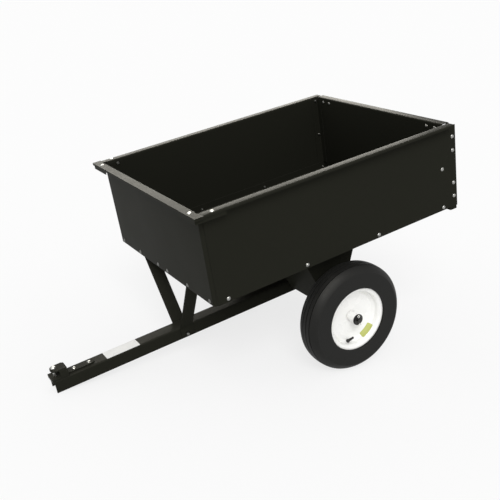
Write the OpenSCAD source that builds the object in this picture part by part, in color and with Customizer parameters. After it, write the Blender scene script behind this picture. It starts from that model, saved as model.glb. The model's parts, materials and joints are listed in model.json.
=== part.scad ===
// Tipping dump cart, set down on its two wheels and the tip of its tongue
// Millimetres. +X to the rear, +Y to the cart's right, +Z up
// Pieces are drawn square to the bed, with the middle of the axle at zero, then set down nose low

/* [Bed] */
// Axle to the outer face of the front panel
front_reach = 502; // [470:1:540]
// Axle to the rear edge of the side panels
rear_reach = 540; // [510:1:580]
// Width over the side panels
bed_width = 746; // [720:1:800]
// Axle centre to the underside of the floor
bed_rise = 239; // [230:1:270]
// Underside of the floor to the top of the rim
wall_height = 321; // [290:1:360]
// Thickness of the bed's sheet steel
sheet = 2; // [1.5:0.1:2.5]
// Outer radius of the sheet bends
bend_round = 5; // [4:0.5:8]
// Outer radius of the front panel's upright corners
corner_round = 12; // [8:1:18]
// Height of the floor's turned-up flanges
floor_flange = 30; // [26:1:36]
// How far the front panel's side flanges reach back
front_flange = 74; // [66:1:90]

/* [Rim] */
// Width of the side rims
side_rim = 37; // [32:1:42]
// Width of the front rim
front_rim = 32; // [30:1:40]
// Depth of the rim's turned-down lip
rim_lip = 9; // [6:1:12]
// Thickness of the corner gussets under the rim
gusset_thick = 2.5; // [2:0.5:4]
// Length of the gusset's legs from the corner
gusset_leg = 96; // [90:1:110]

/* [Tailgate] */
// Rear edge of the side panels to the tailgate's inner face
gate_setback = 55; // [52:1:64]
// Depth of the tailgate's folded edges
gate_depth = 22; // [16:1:24]
// Running gap of the tailgate in its tracks
gate_gap = 1; // [0.6:0.1:2]
// Gap between the tailgate's ends and the side panels
gate_end_gap = 5; // [4:0.5:8]
// Reach of the track flanges from the side panels
track_reach = 26; // [20:1:32]
// Length of the front tracks' legs along the side panels
track_leg = 30; // [28:1:36]
// Edge of the rear tracks inside the rear edge of the side panels
track_edge = 2; // [1:0.5:4]
// How far the rear tracks hang below the floor
track_tail = 13; // [4:1:20]
// Thickness of the bar behind the tailgate's top edge
rail_thick = 4; // [3:0.5:6]
// Height of the bar behind the tailgate's top edge
rail_height = 24; // [20:1:30]

/* [Axle and wheels] */
// Axle diameter
axle_dia = 16; // [14:0.5:17]
// Length of the axle
axle_length = 876; // [860:1:900]
// Axle length past the middle of the split pins
axle_end = 6.3; // [5:0.1:10]
// Tyre outside diameter
tyre_dia = 394; // [380:1:410]
// Tyre section width
tyre_width = 96; // [88:1:98]
// Outside diameter of the rim's flanges
rim_dia = 230; // [220:1:236]
// Width over the rim's flanges
rim_width = 81; // [76:1:84]
// Thickness of the rim's steel
rim_steel = 2.5; // [2:0.5:3]
// Outside diameter of the hub tube
hub_dia = 34; // [32:1:36]
// Length of the hub tube
hub_length = 88; // [80:1:90]
// Outside diameter of the bushes' flanges
bush_flange_dia = 40; // [38:1:44]
// Thickness of the bushes' flanges
bush_flange = 3; // [2:0.5:4]
// Length of the bushes inside the hub
bush_length = 28; // [20:1:34]
// Number of tread grooves
groove_count = 4; // [2:2:6]
// Tread groove width
groove_wide = 3.5; // [2:0.5:5]
// Tread groove depth
groove_deep = 4; // [2:0.5:5]

/* [Axle brackets] */
// Outer face of each bracket's web to the wheel's hub
bracket_space = 32; // [28:1:54]
// Thickness of the bracket steel
bracket_thick = 3; // [2.5:0.5:4]
// Half the length of the bracket at the floor
bracket_half = 128; // [100:1:150]
// Radius of the bracket's foot round the axle
bracket_foot = 26; // [22:1:32]
// Width of the bracket's turned edges
bracket_edge = 16; // [10:1:20]
// Width of the bracket's floor flange
bracket_flange = 36; // [32:1:44]
// Length of the bearing boss on the bracket
boss_length = 12; // [8:1:16]

/* [Tongue] */
// Axle to the tip of the tongue
tongue_reach = 974; // [920:1:1040]
// Tongue length behind the axle
tongue_tail = 26; // [22:1:34]
// Width of the tongue channel
tongue_width = 57; // [52:1:62]
// Depth of the tongue channel
tongue_depth = 46; // [42:1:52]
// Top of the axle to the top of the tongue
tongue_cover = 4; // [4:0.5:6]
// Thickness of the tongue steel
tongue_steel = 3; // [2:0.5:3]
// Outer radius of the tongue's bends
tongue_round = 6; // [5:0.5:8]

/* [Hitch] */
// Thickness of the hitch plates
hitch_plate = 5; // [4:0.5:6]
// Clear height between the hitch jaws
jaw_gap = 22; // [20:1:28]
// Tip of the tongue to the middle of the hitch pin
pin_setback = 14; // [12:1:16]
// Length of the upper jaw
jaw_length = 55; // [48:1:60]
// Pin axis to the front of the hitch cheeks, along the tongue
cheek_setback = 4; // [2:1:8]
// Depth of the lip in front of the tongue
hitch_lip = 26; // [20:1:32]
// Width of the strap along the tongue
strap_width = 32; // [28:1:40]
// Length of the strap behind the jaw
strap_length = 98; // [90:1:110]
// Diameter of the hitch pin between the jaws
hitch_pin_dia = 12.5; // [11:0.1:13.5]
// Length of the hitch pin below the lower jaw
hitch_pin_nose = 38; // [26:1:40]

/* [Brace and release pin] */
// Width of the brace straps
brace_width = 48; // [40:1:52]
// Thickness of the brace straps
brace_steel = 5; // [4:0.5:6]
// Outer face of the front panel to the middle of the brace straps
brace_setback = 28; // [26:1:60]
// Lean of the brace straps from upright
brace_lean = 31; // [26:1:34]
// Top of the tongue to the bend of the straps
brace_bend_drop = 3; // [1:1:5]
// Length of the straps' floor tabs
brace_tab = 42; // [38:1:50]
// Release pin diameter
release_dia = 12; // [10:0.5:13]
// Axle centre down to the release pin
release_drop = 18; // [14:1:20]
// How far the straps reach below the release pin
brace_toe = 16; // [13:1:18]
// Mean radius of the pull ring
ring_radius = 17; // [14:1:22]
// Wire thickness of the pull ring
ring_wire = 3.5; // [3:0.5:4]

/* [Fasteners] */
// Diameter of the bolts
bolt_dia = 6; // [5:0.5:7]
// Diameter of the bolt heads
head_dia = 14; // [12:0.5:15]
// Height of the bolt heads
head_height = 3.5; // [2.5:0.5:4.5]
// Width of the nuts across their corners
nut_width = 11.5; // [10:0.5:12]
// Height of the nuts
nut_height = 5; // [4:0.5:6]
// Bolt length past the nut
thread_end = 2; // [1:0.5:4]
// Height of the floor's edge bolts above its underside
edge_bolt_height = 11; // [10.5:0.5:16]
// Number of bolts along each side's bottom edge
side_bolt_count = 4; // [3:1:6]

/* [Hidden] */
$fn = 64;

// Finishes
paint = [0.09, 0.09, 0.085];
zinc = [0.75, 0.75, 0.72];
white = [0.93, 0.93, 0.91];
rubber = [0.06, 0.06, 0.06];
plastic = [0.10, 0.10, 0.10];

// Clearances
run_gap = 0.05;
bolt_gap = 0.25;
side_gap = 0.3;
overlap = 0.01;
past = 1;
bolt_hole = bolt_dia / 2 + bolt_gap;

// Bed faces
half_bed = bed_width / 2;
wall_in = half_bed - sheet;
floor_low = bed_rise;
floor_top = floor_low + sheet;
flange_top = floor_low + floor_flange;
rim_top = floor_low + wall_height;
rim_low = rim_top - sheet;
front_out = -front_reach;
front_in = front_out + sheet;
rim_front = front_in - front_rim;
rim_out = wall_in + side_rim;
side_start = front_out + corner_round;
wall_end = rim_top - rim_lip;
front_floor_half = wall_in - corner_round;

// Tailgate and its tracks
gate_front = rear_reach - gate_setback;
gate_back = gate_front + gate_depth;
track_stop = gate_front - gate_gap;
track_face = gate_back + gate_gap;
gate_half = wall_in - gate_end_gap;
gate_low = floor_top + gate_gap / 2;
track_foot = flange_top + gate_gap;
rim_end = gate_back - gate_end_gap;
gate_bolts_from_side = [44, 85];
gate_bolt_drop = 20;
gate_bolt_ys = [for (s = [-1, 1]) for (d = gate_bolts_from_side) s * (half_bed - d)];
gate_bolt_z = rim_top - gate_bolt_drop;

// Side bolts: a row along the bottom, and upright columns at the front panel and at the tracks
column_from_front = 52;
column_from_track = 11;
column_from_rim = 15;
column_below_middle = 2;
front_column = front_out + column_from_front;
rear_column = track_stop - column_from_track;
column_top = rim_top - column_from_rim;
column_middle = floor_low + wall_height / 2 - column_below_middle;
row_z = floor_low + edge_bolt_height;
row_step = (rear_column - front_column) / (side_bolt_count - 1);
side_row = [for (i = [0 : side_bolt_count - 1]) [front_column + i * row_step, row_z]];
front_upright = [[front_column, column_top]];
front_track_holes = [[rear_column, column_middle], [rear_column, column_top]];
track_bolts_below_middle = 7;
track_bolt_steps = [-113, -62, 62, 113];
track_leg_share = 0.6;
track_mid = floor_low + wall_height / 2 - track_bolts_below_middle;
rear_leg = rear_reach - track_face - track_edge;
rear_track_x = track_face + rear_leg * track_leg_share;
rear_track_holes = [for (dz = track_bolt_steps) [rear_track_x, track_mid + dz]];

// Front bolts along the floor's front flange
front_bolts_from_side = [32, 184, 336];
front_ys = [for (s = [-1, 1]) for (d = front_bolts_from_side) s * (half_bed - d)];

// Rim bolts, one on the front rim and one on the side rim at each corner
front_rim_bolt_in = 22;
side_rim_bolt_ahead = 14;
side_rim_bolt_out = 2;
rim_bolt_front = [front_out - front_rim / 2, wall_in - front_rim_bolt_in];
rim_bolt_side = [front_column - side_rim_bolt_ahead, wall_in + side_rim / 2 + side_rim_bolt_out];

// Axle, wheels and what lies along the axle
axle_r = axle_dia / 2;
axle_half = axle_length / 2;
tyre_r = tyre_dia / 2;
hub_half = hub_length / 2;
washer_thick = 2.5;
washer_dia = 34;
cotter_wire = 3.2;
cotter_y = axle_half - axle_end;
wheel_outer = cotter_y - cotter_wire / 2 - washer_thick - 2 * side_gap;
half_track = wheel_outer - hub_half - bush_flange;
wheel_inner = half_track - hub_half - bush_flange;
hub_wall = 4;
bush_dia = hub_dia - 2 * hub_wall;
spacer_wall = 4;
wheel_spacer_wall = 5;

// Split pins
cotter_leg = axle_r + 6;
cotter_end = 10;
cotter_spread = 40;
cotter_eye = 4;
cotter_neck = 2.5;

// Tyre section
rim_r = rim_dia / 2;
rim_half = rim_width / 2;
seat_drop = 13;
seat_r = rim_r - seat_drop;
side_round = tyre_width * 0.58;
side_round_r = tyre_r - side_round * 0.94;
crown_round = tyre_width * 1.3;
groove_step = tyre_width * 0.68 / groove_count;
tyre_wall = 9;
flange_room = 10;
bead_face = rim_half - flange_room;
bead_thick = 12;
bead_rise = 8;

// Rim section from the rolled flange, through the bead seat and the cone, to the hub
flange_roll = 5;
flange_depth = 4;
seat_depth = 9;
cone_start = 19.5;
cone_drop = [9.5, 9];
cone_step = 1.5;
web_reach = 32;
web_off = 5;
hub_off = 3.5;
dish_r = seat_r - rim_steel;
cone_out = [dish_r - cone_step, cone_start];
cone_in = cone_out - cone_drop;
rim_path = [[rim_r, rim_half], [rim_r - flange_roll, rim_half], [seat_r + 1, rim_half - flange_depth],
    [dish_r, rim_half - seat_depth], cone_out, cone_in, [dish_r - web_reach, web_off],
    [hub_dia / 2 - past, hub_off]];
rim_back_path = [for (i = [len(rim_path) - 1 : -1 : 0]) [rim_path[i][0], -rim_path[i][1]]];

// Valve
valve_turn = 20;
valve_neck = 4;
valve_length = 33;
valve_base = 4;
valve_skirt = 2.5;
valve_foot = valve_neck + 1.5;
valve_shoulder = valve_neck + 0.5;

// Axle bracket: the slanting edges run from the floor to the round foot
bracket_y = wheel_inner - bracket_space;
bracket_in = bracket_y - bracket_thick;
bracket_top = floor_low;
corner_d = norm([bracket_half, bracket_top]);
edge_turn = atan2(bracket_top, bracket_half) - acos(bracket_foot / corner_d);
bracket_bolt_inset = 44;
foot_proud = 0.4;
boss_wall = 6;
bracket_bolt_x = bracket_half - bracket_bolt_inset;
bracket_bolt_y = bracket_in - bracket_flange / 2;
bracket_bolts_at = [for (x = [-1, 1]) [x * bracket_bolt_x, bracket_bolt_y]];

// Tongue and hitch
tongue_half = tongue_width / 2;
tongue_top = axle_r + tongue_cover;
tongue_low = tongue_top - tongue_depth;
tip_x = -tongue_reach;
hitch_x = tip_x + pin_setback;
lower_jaw = tongue_top + hitch_plate;
upper_jaw = lower_jaw + jaw_gap;
hood_top = upper_jaw + hitch_plate;
jaw_inset = 1;
strap_bolt_front = 24;
strap_bolt_rear = 19;
jaw_front = tip_x + jaw_inset;
jaw_back = jaw_front + jaw_length;
cheek_front = hitch_x - cheek_setback;
cheek_low = tongue_top - hitch_lip;
strap_end = jaw_back + strap_length;
strap_bolts = [for (x = [jaw_back + strap_bolt_front, strap_end - strap_bolt_rear]) [x, 0]];
pin_r = hitch_pin_dia / 2;
pin_step = 0.25;
pin_fit = 0.1;
pin_nose_r = pin_r - pin_step;
pin_shoulder_r = pin_r + pin_step;
pin_head_r = pin_r * 1.75;
pin_collar = 4;
pin_crown = pin_head_r * 0.75;
pin_taper = 8;
pin_point_r = pin_nose_r * 0.55;

// Brace straps and the release pin that passes through them and the tongue
brace_reach = front_reach - brace_setback;
brace_x = -brace_reach;
brace_clear = 0.5;
tab_bolt_inset = 16;
brace_in = tongue_half + brace_clear;
brace_out = brace_in + brace_steel;
brace_bend = tongue_top - brace_bend_drop;
brace_foot_z = -release_drop - brace_toe;
brace_top_y = brace_in + (floor_low - brace_bend) * tan(brace_lean);
brace_path = [[brace_in, brace_foot_z], [brace_in, brace_bend], [brace_top_y, floor_low],
    [brace_top_y + brace_tab, floor_low]];
brace_bolt_y = brace_top_y + brace_tab - tab_bolt_inset;
brace_bolts_at = [for (x = [-1, 1]) [brace_x + x * brace_width / 4, brace_bolt_y]];
release_r = release_dia / 2;
slot_gap = 0.6;
slot_eye = 0.2;
slot_turn = -atan(release_drop / brace_reach);
release_head = 5;
head_step = 4;
release_nose = 8;
nose_taper = 3;
nose_chamfer = 2;
lug_length = 13;
lug_thick = 5;
ring_slack = 1.5;
lug_hole = ring_wire / 2 + ring_slack;
lug_y = brace_out + side_gap + release_head + lug_length / 2;

// Nose-low stand: the tyres and the lower tip of the tongue all touch the ground
tip_arm = norm([tongue_reach, tongue_low]);
nose_drop = asin(tyre_r / tip_arm) - atan(-tongue_low / tongue_reach);
front_end = min(jaw_front * cos(nose_drop) - hood_top * sin(nose_drop),
    (tip_x - hitch_plate) * cos(nose_drop) - lower_jaw * sin(nose_drop));
rear_end = max(rear_reach * cos(nose_drop) - floor_low * sin(nose_drop),
    (track_face + rear_leg) * cos(nose_drop) - (floor_low - track_tail) * sin(nose_drop));
stand_x = -(front_end + rear_end) / 2;

// Helpers

function unit(v) = v / norm(v);
function left_of(v) = [-v[1], v[0]];
function mitred(path, i, thick) = let (
        last = len(path) - 1,
        ahead = left_of(unit(path[min(i + 1, last)] - path[min(i, last - 1)])),
        behind = left_of(unit(path[max(i, 1)] - path[max(i - 1, 0)])),
        middle = unit(ahead + behind)
    ) path[i] + middle * thick / (middle * ahead);
function strip(path, thick) = concat(path,
    [for (i = [len(path) - 1 : -1 : 0]) mitred(path, i, thick)]);

// Sets a piece drawn square to the bed down on the ground, nose low
module stand() {
    translate([stand_x, 0, tyre_r]) rotate([0, -nose_drop, 0]) children();
}

// Both sides of the cart from a piece drawn on the right
module both_sides() {
    children();
    mirror([0, 1, 0]) children();
}

// Both halves of an outline drawn in Y and Z on the right
module both_sides_2d() {
    children();
    mirror([1, 0]) children();
}

// A wheel section and its mirror image on the other face
module both_faces() {
    children();
    mirror([0, 1]) children();
}

// Extrudes an outline drawn in Y and Z from one X to another
module along_x(from, to) {
    translate([from, 0, 0]) rotate([90, 0, 90]) linear_extrude(to - from) children();
}

// Extrudes an outline drawn in X and Z from one Y to another
module along_y(from, to) {
    translate([0, to, 0]) rotate([90, 0, 0]) linear_extrude(to - from) children();
}

// Box between two corners
module block(low, high) {
    translate(low) cube(high - low);
}

// Folded sheet corner: legs along +X and +Y with a round bend at the origin
module fold(leg_x, leg_y, thick, round) {
    difference() {
        union() {
            translate([round, 0]) square([leg_x - round, thick]);
            translate([0, round]) square([thick, leg_y - round]);
            intersection() {
                translate([round, round]) circle(round);
                square(round);
            }
        }
        translate([round, round]) circle(round - thick);
    }
}

// Round holes along Y at points given as X and Z
module holes_y(points, r, from, to) {
    for (p = points) translate([p[0], to, p[1]]) rotate([90, 0, 0]) cylinder(h = to - from, r = r);
}

// Round holes along Z at points given as X and Y
module holes_z(points, r, from, to) {
    for (p = points) translate([p[0], p[1], from]) cylinder(h = to - from, r = r);
}

// Dome-headed bolt with its nut: the head sits on z = 0 and the grip lies below
module bolt(grip) {
    dome_r = (head_dia * head_dia / 4 + head_height * head_height) / (2 * head_height);
    rotate_extrude() intersection() {
        translate([0, head_height - dome_r]) circle(dome_r);
        square([head_dia / 2, head_height]);
    }
    translate([0, 0, -grip - nut_height - thread_end])
        cylinder(h = grip + nut_height + thread_end + overlap, d = bolt_dia);
    translate([0, 0, -grip - nut_height]) cylinder(h = nut_height, d = nut_width, $fn = 6);
}

module bolts_y(points, seat, grip) {
    for (p = points) translate([p[0], seat, p[1]]) rotate([-90, 0, 0]) bolt(grip);
}

module bolts_z(points, seat, grip) {
    for (p = points) translate([p[0], p[1], seat]) bolt(grip);
}

// Bed

module floor_pan() color(paint) stand() difference() {
    union() {
        along_x(side_start, gate_back) both_sides_2d() translate([wall_in, floor_low]) rotate(90)
            fold(floor_flange, wall_in, sheet, bend_round);
        along_y(-front_floor_half, front_floor_half) translate([front_in, floor_low])
            fold(corner_round * 2, floor_flange, sheet, bend_round);
    }
    both_sides() holes_y(side_row, bolt_hole, wall_in - sheet - past, wall_in + past);
    front_holes(front_in - past, front_in + sheet + past);
    both_sides() holes_z(concat(bracket_bolts_at, brace_bolts_at), bolt_hole,
        floor_low - past, floor_top + past);
}

module front_holes(from, to) {
    for (y = front_ys) translate([from, y, row_z]) rotate([0, 90, 0])
        cylinder(h = to - from, r = bolt_hole);
}

module side_panel() difference() {
    union() {
        along_x(side_start, rim_end) {
            translate([wall_in, rim_top]) mirror([0, 1]) fold(side_rim, wall_height, sheet, bend_round);
            translate([rim_out - sheet, wall_end]) square([sheet, rim_lip - sheet / 2]);
        }
        along_x(front_in, side_start + overlap) {
            translate([wall_in + bend_round, rim_low]) square([side_rim - bend_round, sheet]);
            translate([rim_out - sheet, wall_end]) square([sheet, rim_lip]);
        }
        along_x(rim_end - overlap, rear_reach)
            translate([wall_in, floor_low]) square([sheet, wall_height - bend_round]);
    }
    holes_y(concat(side_row, front_upright, front_track_holes, rear_track_holes), bolt_hole,
        wall_in - past, half_bed + past);
    holes_z([rim_bolt_side], bolt_hole, rim_low - past, rim_top + past);
}

module right_side() color(paint) stand() side_panel();
module left_side() color(paint) stand() mirror([0, 1, 0]) side_panel();

module front_panel() color(paint) stand() difference() {
    union() {
        // Wall with its rolled top edge and forward rim
        along_y(-front_floor_half, front_floor_half) {
            translate([front_in, rim_top]) rotate(180) fold(front_rim, wall_height, sheet, bend_round);
        }
        // Rim and lip over the full width, corners included
        along_y(-rim_out, rim_out) {
            translate([rim_front, rim_low]) square([front_rim - bend_round, sheet]);
            translate([rim_front, wall_end]) square([sheet, rim_lip]);
        }
        both_sides() block([rim_front, rim_out - sheet, wall_end],
            [front_in - side_gap, rim_out, rim_top]);
        // Rim corner between the wall's end and the side rim
        both_sides() block([rim_front, wall_in + bend_round, rim_low],
            [front_in - side_gap, rim_out, rim_top]);
        // Upright corners and the flanges inside the side panels
        both_sides() translate([front_out, wall_in, floor_low]) mirror([0, 1, 0]) {
            linear_extrude(wall_height - bend_round)
                fold(corner_round + overlap, corner_round + overlap, sheet, corner_round);
            translate([corner_round, 0, floor_flange + gate_gap])
                cube([front_flange - corner_round, sheet, wall_height - floor_flange - gate_gap - rim_lip]);
        }
    }
    front_holes(front_out - past, front_in + past);
    both_sides() holes_y(front_upright, bolt_hole, wall_in - sheet - past, wall_in + past);
    both_sides() holes_z([rim_bolt_front], bolt_hole, rim_low - past, rim_top + past);
}

// Plate under each front corner of the rim, with a leg along each edge
module rim_gusset() {
    inset = sheet + side_gap;
    low = rim_low - gusset_thick;
    corner = [rim_front + inset, rim_out - inset];
    wall_gap = bend_round;
    difference() {
        union() {
            block([corner[0], corner[1] - gusset_leg, low], [front_out - wall_gap, corner[1], rim_low]);
            block([corner[0], half_bed + wall_gap, low], [corner[0] + gusset_leg, corner[1], rim_low]);
        }
        holes_z([rim_bolt_front, rim_bolt_side], bolt_hole, low - past, rim_low + past);
    }
}

module right_rim_gusset() color(paint) stand() rim_gusset();
module left_rim_gusset() color(paint) stand() mirror([0, 1, 0]) rim_gusset();

// Angle in front of the tailgate, and the longer one behind it
module front_track() difference() {
    translate([track_stop, wall_in, track_foot]) rotate(180)
        linear_extrude(wall_end - track_foot) fold(track_leg, track_reach, sheet, bend_round);
    holes_y(front_track_holes, bolt_hole, wall_in - sheet - past, wall_in + past);
}

module rear_track() difference() {
    translate([track_face, wall_in, floor_low - track_tail]) rotate(-90)
        linear_extrude(wall_end - floor_low + track_tail) fold(track_reach, rear_leg, sheet, bend_round);
    holes_y(rear_track_holes, bolt_hole, wall_in - sheet - past, wall_in + past);
}

module right_front_track() color(paint) stand() front_track();
module left_front_track() color(paint) stand() mirror([0, 1, 0]) front_track();
module right_rear_track() color(paint) stand() rear_track();
module left_rear_track() color(paint) stand() mirror([0, 1, 0]) rear_track();

// Outline of the bracket's web, drawn in by a given amount from its edges
module bracket_outline(inset) {
    foot = bracket_foot - inset;
    half = bracket_half - inset / cos(edge_turn);
    touch = foot * [cos(edge_turn), sin(edge_turn)];
    circle(foot + foot_proud);
    polygon([[-half, bracket_top], [-touch[0], touch[1]], touch, [half, bracket_top]]);
}

module axle_bracket() difference() {
    union() {
        along_y(bracket_in, bracket_y) bracket_outline(0);
        along_y(bracket_y - bracket_edge, bracket_y) difference() {
            bracket_outline(0);
            bracket_outline(bracket_thick);
        }
        along_x(-bracket_half, bracket_half) translate([bracket_y, bracket_top]) rotate(180)
            square([bracket_flange + bracket_thick, bracket_thick]);
        translate([0, bracket_y, 0]) rotate([-90, 0, 0])
            cylinder(h = boss_length - bracket_thick, r = axle_r + boss_wall);
    }
    holes_y([[0, 0]], axle_r + run_gap, bracket_in - past, bracket_y + boss_length);
    holes_z(bracket_bolts_at, bolt_hole, bracket_top - bracket_thick - past, bracket_top + past);
}

module right_axle_bracket() color(paint) stand() axle_bracket();
module left_axle_bracket() color(paint) stand() mirror([0, 1, 0]) axle_bracket();

// Leaning strap from the floor to the tongue, with a toe that drops over the release pin
module brace() difference() {
    along_x(brace_x - brace_width / 2, brace_x + brace_width / 2) polygon(strip(brace_path, -brace_steel));
    slot_half = release_r + slot_gap;
    holes_y([[brace_x, -release_drop]], slot_half + slot_eye, brace_in - past, brace_out + past);
    translate([brace_x, 0, -release_drop]) rotate([0, slot_turn, 0])
        block([-slot_half, brace_in - past, -brace_toe * 2], [slot_half, brace_out + past, 0]);
    holes_z(brace_bolts_at, bolt_hole, floor_low - brace_steel - past, floor_low + past);
}

module right_brace() color(paint) stand() brace();
module left_brace() color(paint) stand() mirror([0, 1, 0]) brace();

module side_bolts() color(zinc) stand() both_sides() {
    bolts_y(side_row, half_bed, sheet * 2);
    bolts_y(front_upright, half_bed, sheet * 2);
}

module front_bolts() color(zinc) stand() for (y = front_ys)
    translate([front_out, y, row_z]) rotate([0, -90, 0]) bolt(sheet * 2);

module track_bolts() color(zinc) stand() both_sides()
    bolts_y(concat(front_track_holes, rear_track_holes), half_bed, sheet * 2);

module rim_bolts() color(zinc) stand() both_sides()
    bolts_z([rim_bolt_front, rim_bolt_side], rim_top, sheet + gusset_thick);

module bracket_bolts() color(zinc) stand() both_sides()
    bolts_z(bracket_bolts_at, floor_top, sheet + bracket_thick);

module brace_bolts() color(zinc) stand() both_sides()
    bolts_z(brace_bolts_at, floor_top, sheet + brace_steel);

// Tailgate

module gate_holes(from, to) {
    for (y = gate_bolt_ys) translate([from, y, gate_bolt_z]) rotate([0, 90, 0])
        cylinder(h = to - from, r = bolt_hole);
}

module tailgate_panel() color(paint) stand() difference() {
    union() {
        // Face with the top and bottom edges folded back
        along_y(-gate_half, gate_half) {
            translate([gate_front, rim_top]) mirror([0, 1])
                fold(gate_depth, wall_height / 2, sheet, bend_round);
            translate([gate_front, gate_low]) fold(gate_depth, wall_height / 2, sheet, bend_round);
            translate([gate_front, floor_low + wall_height / 4]) square([sheet, wall_height / 2]);
        }
        // Ends folded back between the tracks
        both_sides() block([gate_front, gate_half - sheet, gate_low + bend_round],
            [gate_back, gate_half, rim_top - bend_round]);
    }
    gate_holes(gate_front - past, gate_front + sheet + past);
}

module tailgate_bar() color(paint) stand() difference() {
    block([gate_front + sheet, -gate_half + sheet + side_gap, gate_bolt_z - rail_height / 2],
        [gate_front + sheet + rail_thick, gate_half - sheet - side_gap, gate_bolt_z + rail_height / 2]);
    gate_holes(gate_front + sheet - past, gate_front + sheet + rail_thick + past);
}

module tailgate_bolts() color(zinc) stand() for (y = gate_bolt_ys)
    translate([gate_front, y, gate_bolt_z]) rotate([0, -90, 0]) bolt(sheet + rail_thick);

// Tongue, axle and hitch

module tongue() color(paint) stand() difference() {
    along_x(tip_x, tongue_tail) both_sides_2d() translate([tongue_half, tongue_top]) rotate(180)
        fold(tongue_half, tongue_depth, tongue_steel, tongue_round);
    holes_y([[0, 0]], axle_r + run_gap, -tongue_half - past, tongue_half + past);
    holes_y([[brace_x, -release_drop]], release_r + run_gap, -tongue_half - past, tongue_half + past);
    under = tongue_top - tongue_steel;
    holes_z([[hitch_x, 0]], pin_nose_r + pin_fit, under - past, tongue_top + past);
    holes_z(strap_bolts, bolt_hole, under - past, tongue_top + past);
}

module hitch_bracket() color(paint) stand() {
    cheek_out = tongue_half + hitch_plate;
    strap_half = strap_width / 2;
    strap_round = strap_end - strap_half;
    difference() {
        union() {
            // Lower jaw on the tongue, its lip in front and its strap behind
            block([tip_x - hitch_plate, -tongue_half, tongue_top], [jaw_back, tongue_half, lower_jaw]);
            block([tip_x - hitch_plate, -tongue_half, cheek_low], [tip_x, tongue_half, lower_jaw]);
            block([jaw_back - overlap, -strap_half, tongue_top], [strap_round, strap_half, lower_jaw]);
            translate([strap_round, 0, tongue_top]) cylinder(h = hitch_plate, r = strap_half);
            // Cheeks and the upper jaw
            both_sides() block([cheek_front, tongue_half, cheek_low], [jaw_back, cheek_out, hood_top]);
            block([jaw_front, -cheek_out, upper_jaw], [jaw_back, cheek_out, hood_top]);
        }
        holes_z([[hitch_x, 0]], pin_nose_r + pin_fit, tongue_top - past, lower_jaw + past);
        holes_z([[hitch_x, 0]], pin_shoulder_r + pin_fit, upper_jaw - past, hood_top + past);
        holes_z(strap_bolts, bolt_hole, tongue_top - past, lower_jaw + past);
    }
}

module hitch_bolts() color(zinc) stand()
    bolts_z(strap_bolts, lower_jaw, hitch_plate + tongue_steel);

// Drop pin: round head, shoulder in the upper jaw, working length, then a nose with a tapered end
module hitch_pin() color(zinc) stand() translate([hitch_x, 0, 0]) {
    nose_low = lower_jaw - hitch_pin_nose;
    translate([0, 0, nose_low]) cylinder(h = pin_taper + overlap, r1 = pin_point_r, r2 = pin_nose_r);
    translate([0, 0, nose_low + pin_taper])
        cylinder(h = hitch_pin_nose - pin_taper + overlap, r = pin_nose_r);
    translate([0, 0, lower_jaw]) cylinder(h = jaw_gap + overlap, r = pin_r);
    translate([0, 0, upper_jaw]) cylinder(h = hitch_plate + overlap, r = pin_shoulder_r);
    translate([0, 0, hood_top]) cylinder(h = pin_collar, r = pin_head_r);
    translate([0, 0, hood_top + pin_collar - overlap]) rotate_extrude() intersection() {
        circle(pin_head_r);
        square([pin_head_r, pin_crown]);
    }
}

module axle() color(zinc) stand() difference() {
    translate([0, axle_half, 0]) rotate([90, 0, 0]) cylinder(h = axle_length, r = axle_r);
    both_sides() translate([0, cotter_y, -axle_r - past])
        cylinder(h = axle_dia + 2 * past, d = cotter_wire + 2 * run_gap);
}

// Ring of steel on the axle between two Y places
module axle_ring(from, to, outside) {
    translate([0, to, 0]) rotate([90, 0, 0]) difference() {
        cylinder(h = to - from, d = outside);
        translate([0, 0, -past]) cylinder(h = to - from + 2 * past, r = axle_r + run_gap);
    }
}

module axle_spacers() color(zinc) stand() both_sides() {
    axle_ring(tongue_half + side_gap, bracket_in - side_gap, axle_dia + 2 * spacer_wall);
    boss_end = bracket_y + boss_length - bracket_thick;
    axle_ring(boss_end + side_gap, wheel_inner - side_gap, axle_dia + 2 * wheel_spacer_wall);
}

module axle_washers() color(zinc) stand() both_sides()
    axle_ring(wheel_outer + side_gap, wheel_outer + side_gap + washer_thick, washer_dia);

// Split pin: an eye above the axle, two legs through it and their spread ends
module cotter_pins() color(zinc) stand() both_sides() translate([0, cotter_y, 0]) {
    translate([0, 0, -cotter_leg]) cylinder(h = cotter_leg + axle_r + cotter_neck, d = cotter_wire);
    translate([0, 0, axle_r + cotter_eye + cotter_neck]) rotate([90, 0, 0])
        rotate_extrude() translate([cotter_eye, 0]) circle(d = cotter_wire);
    for (side = [-1, 1]) translate([0, 0, -cotter_leg]) rotate([0, 180 + side * cotter_spread, 0])
        cylinder(h = cotter_end, d = cotter_wire * 0.7);
}

// Release pin: nose on the left, head and ring lug on the right
module release_pin() color(zinc) stand() translate([brace_x, 0, -release_drop]) difference() {
    union() {
        head_y = brace_out + side_gap;
        translate([0, head_y + overlap, 0]) rotate([90, 0, 0])
            cylinder(h = head_y + brace_out + release_nose - nose_taper + overlap, r = release_r);
        translate([0, -brace_out - release_nose + nose_taper, 0]) rotate([90, 0, 0])
            cylinder(h = nose_taper, r1 = release_r, r2 = release_r - nose_chamfer);
        translate([0, head_y + release_head, 0]) rotate([90, 0, 0])
            cylinder(h = release_head, r = release_r + head_step);
        block([-lug_thick / 2, head_y + release_head - overlap, -lug_length / 2],
            [lug_thick / 2, lug_y, lug_length / 2]);
        translate([-lug_thick / 2, lug_y, 0]) rotate([0, 90, 0]) cylinder(h = lug_thick, d = lug_length);
    }
    translate([-lug_thick, lug_y, 0]) rotate([0, 90, 0]) cylinder(h = lug_thick * 2, r = lug_hole);
}

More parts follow.
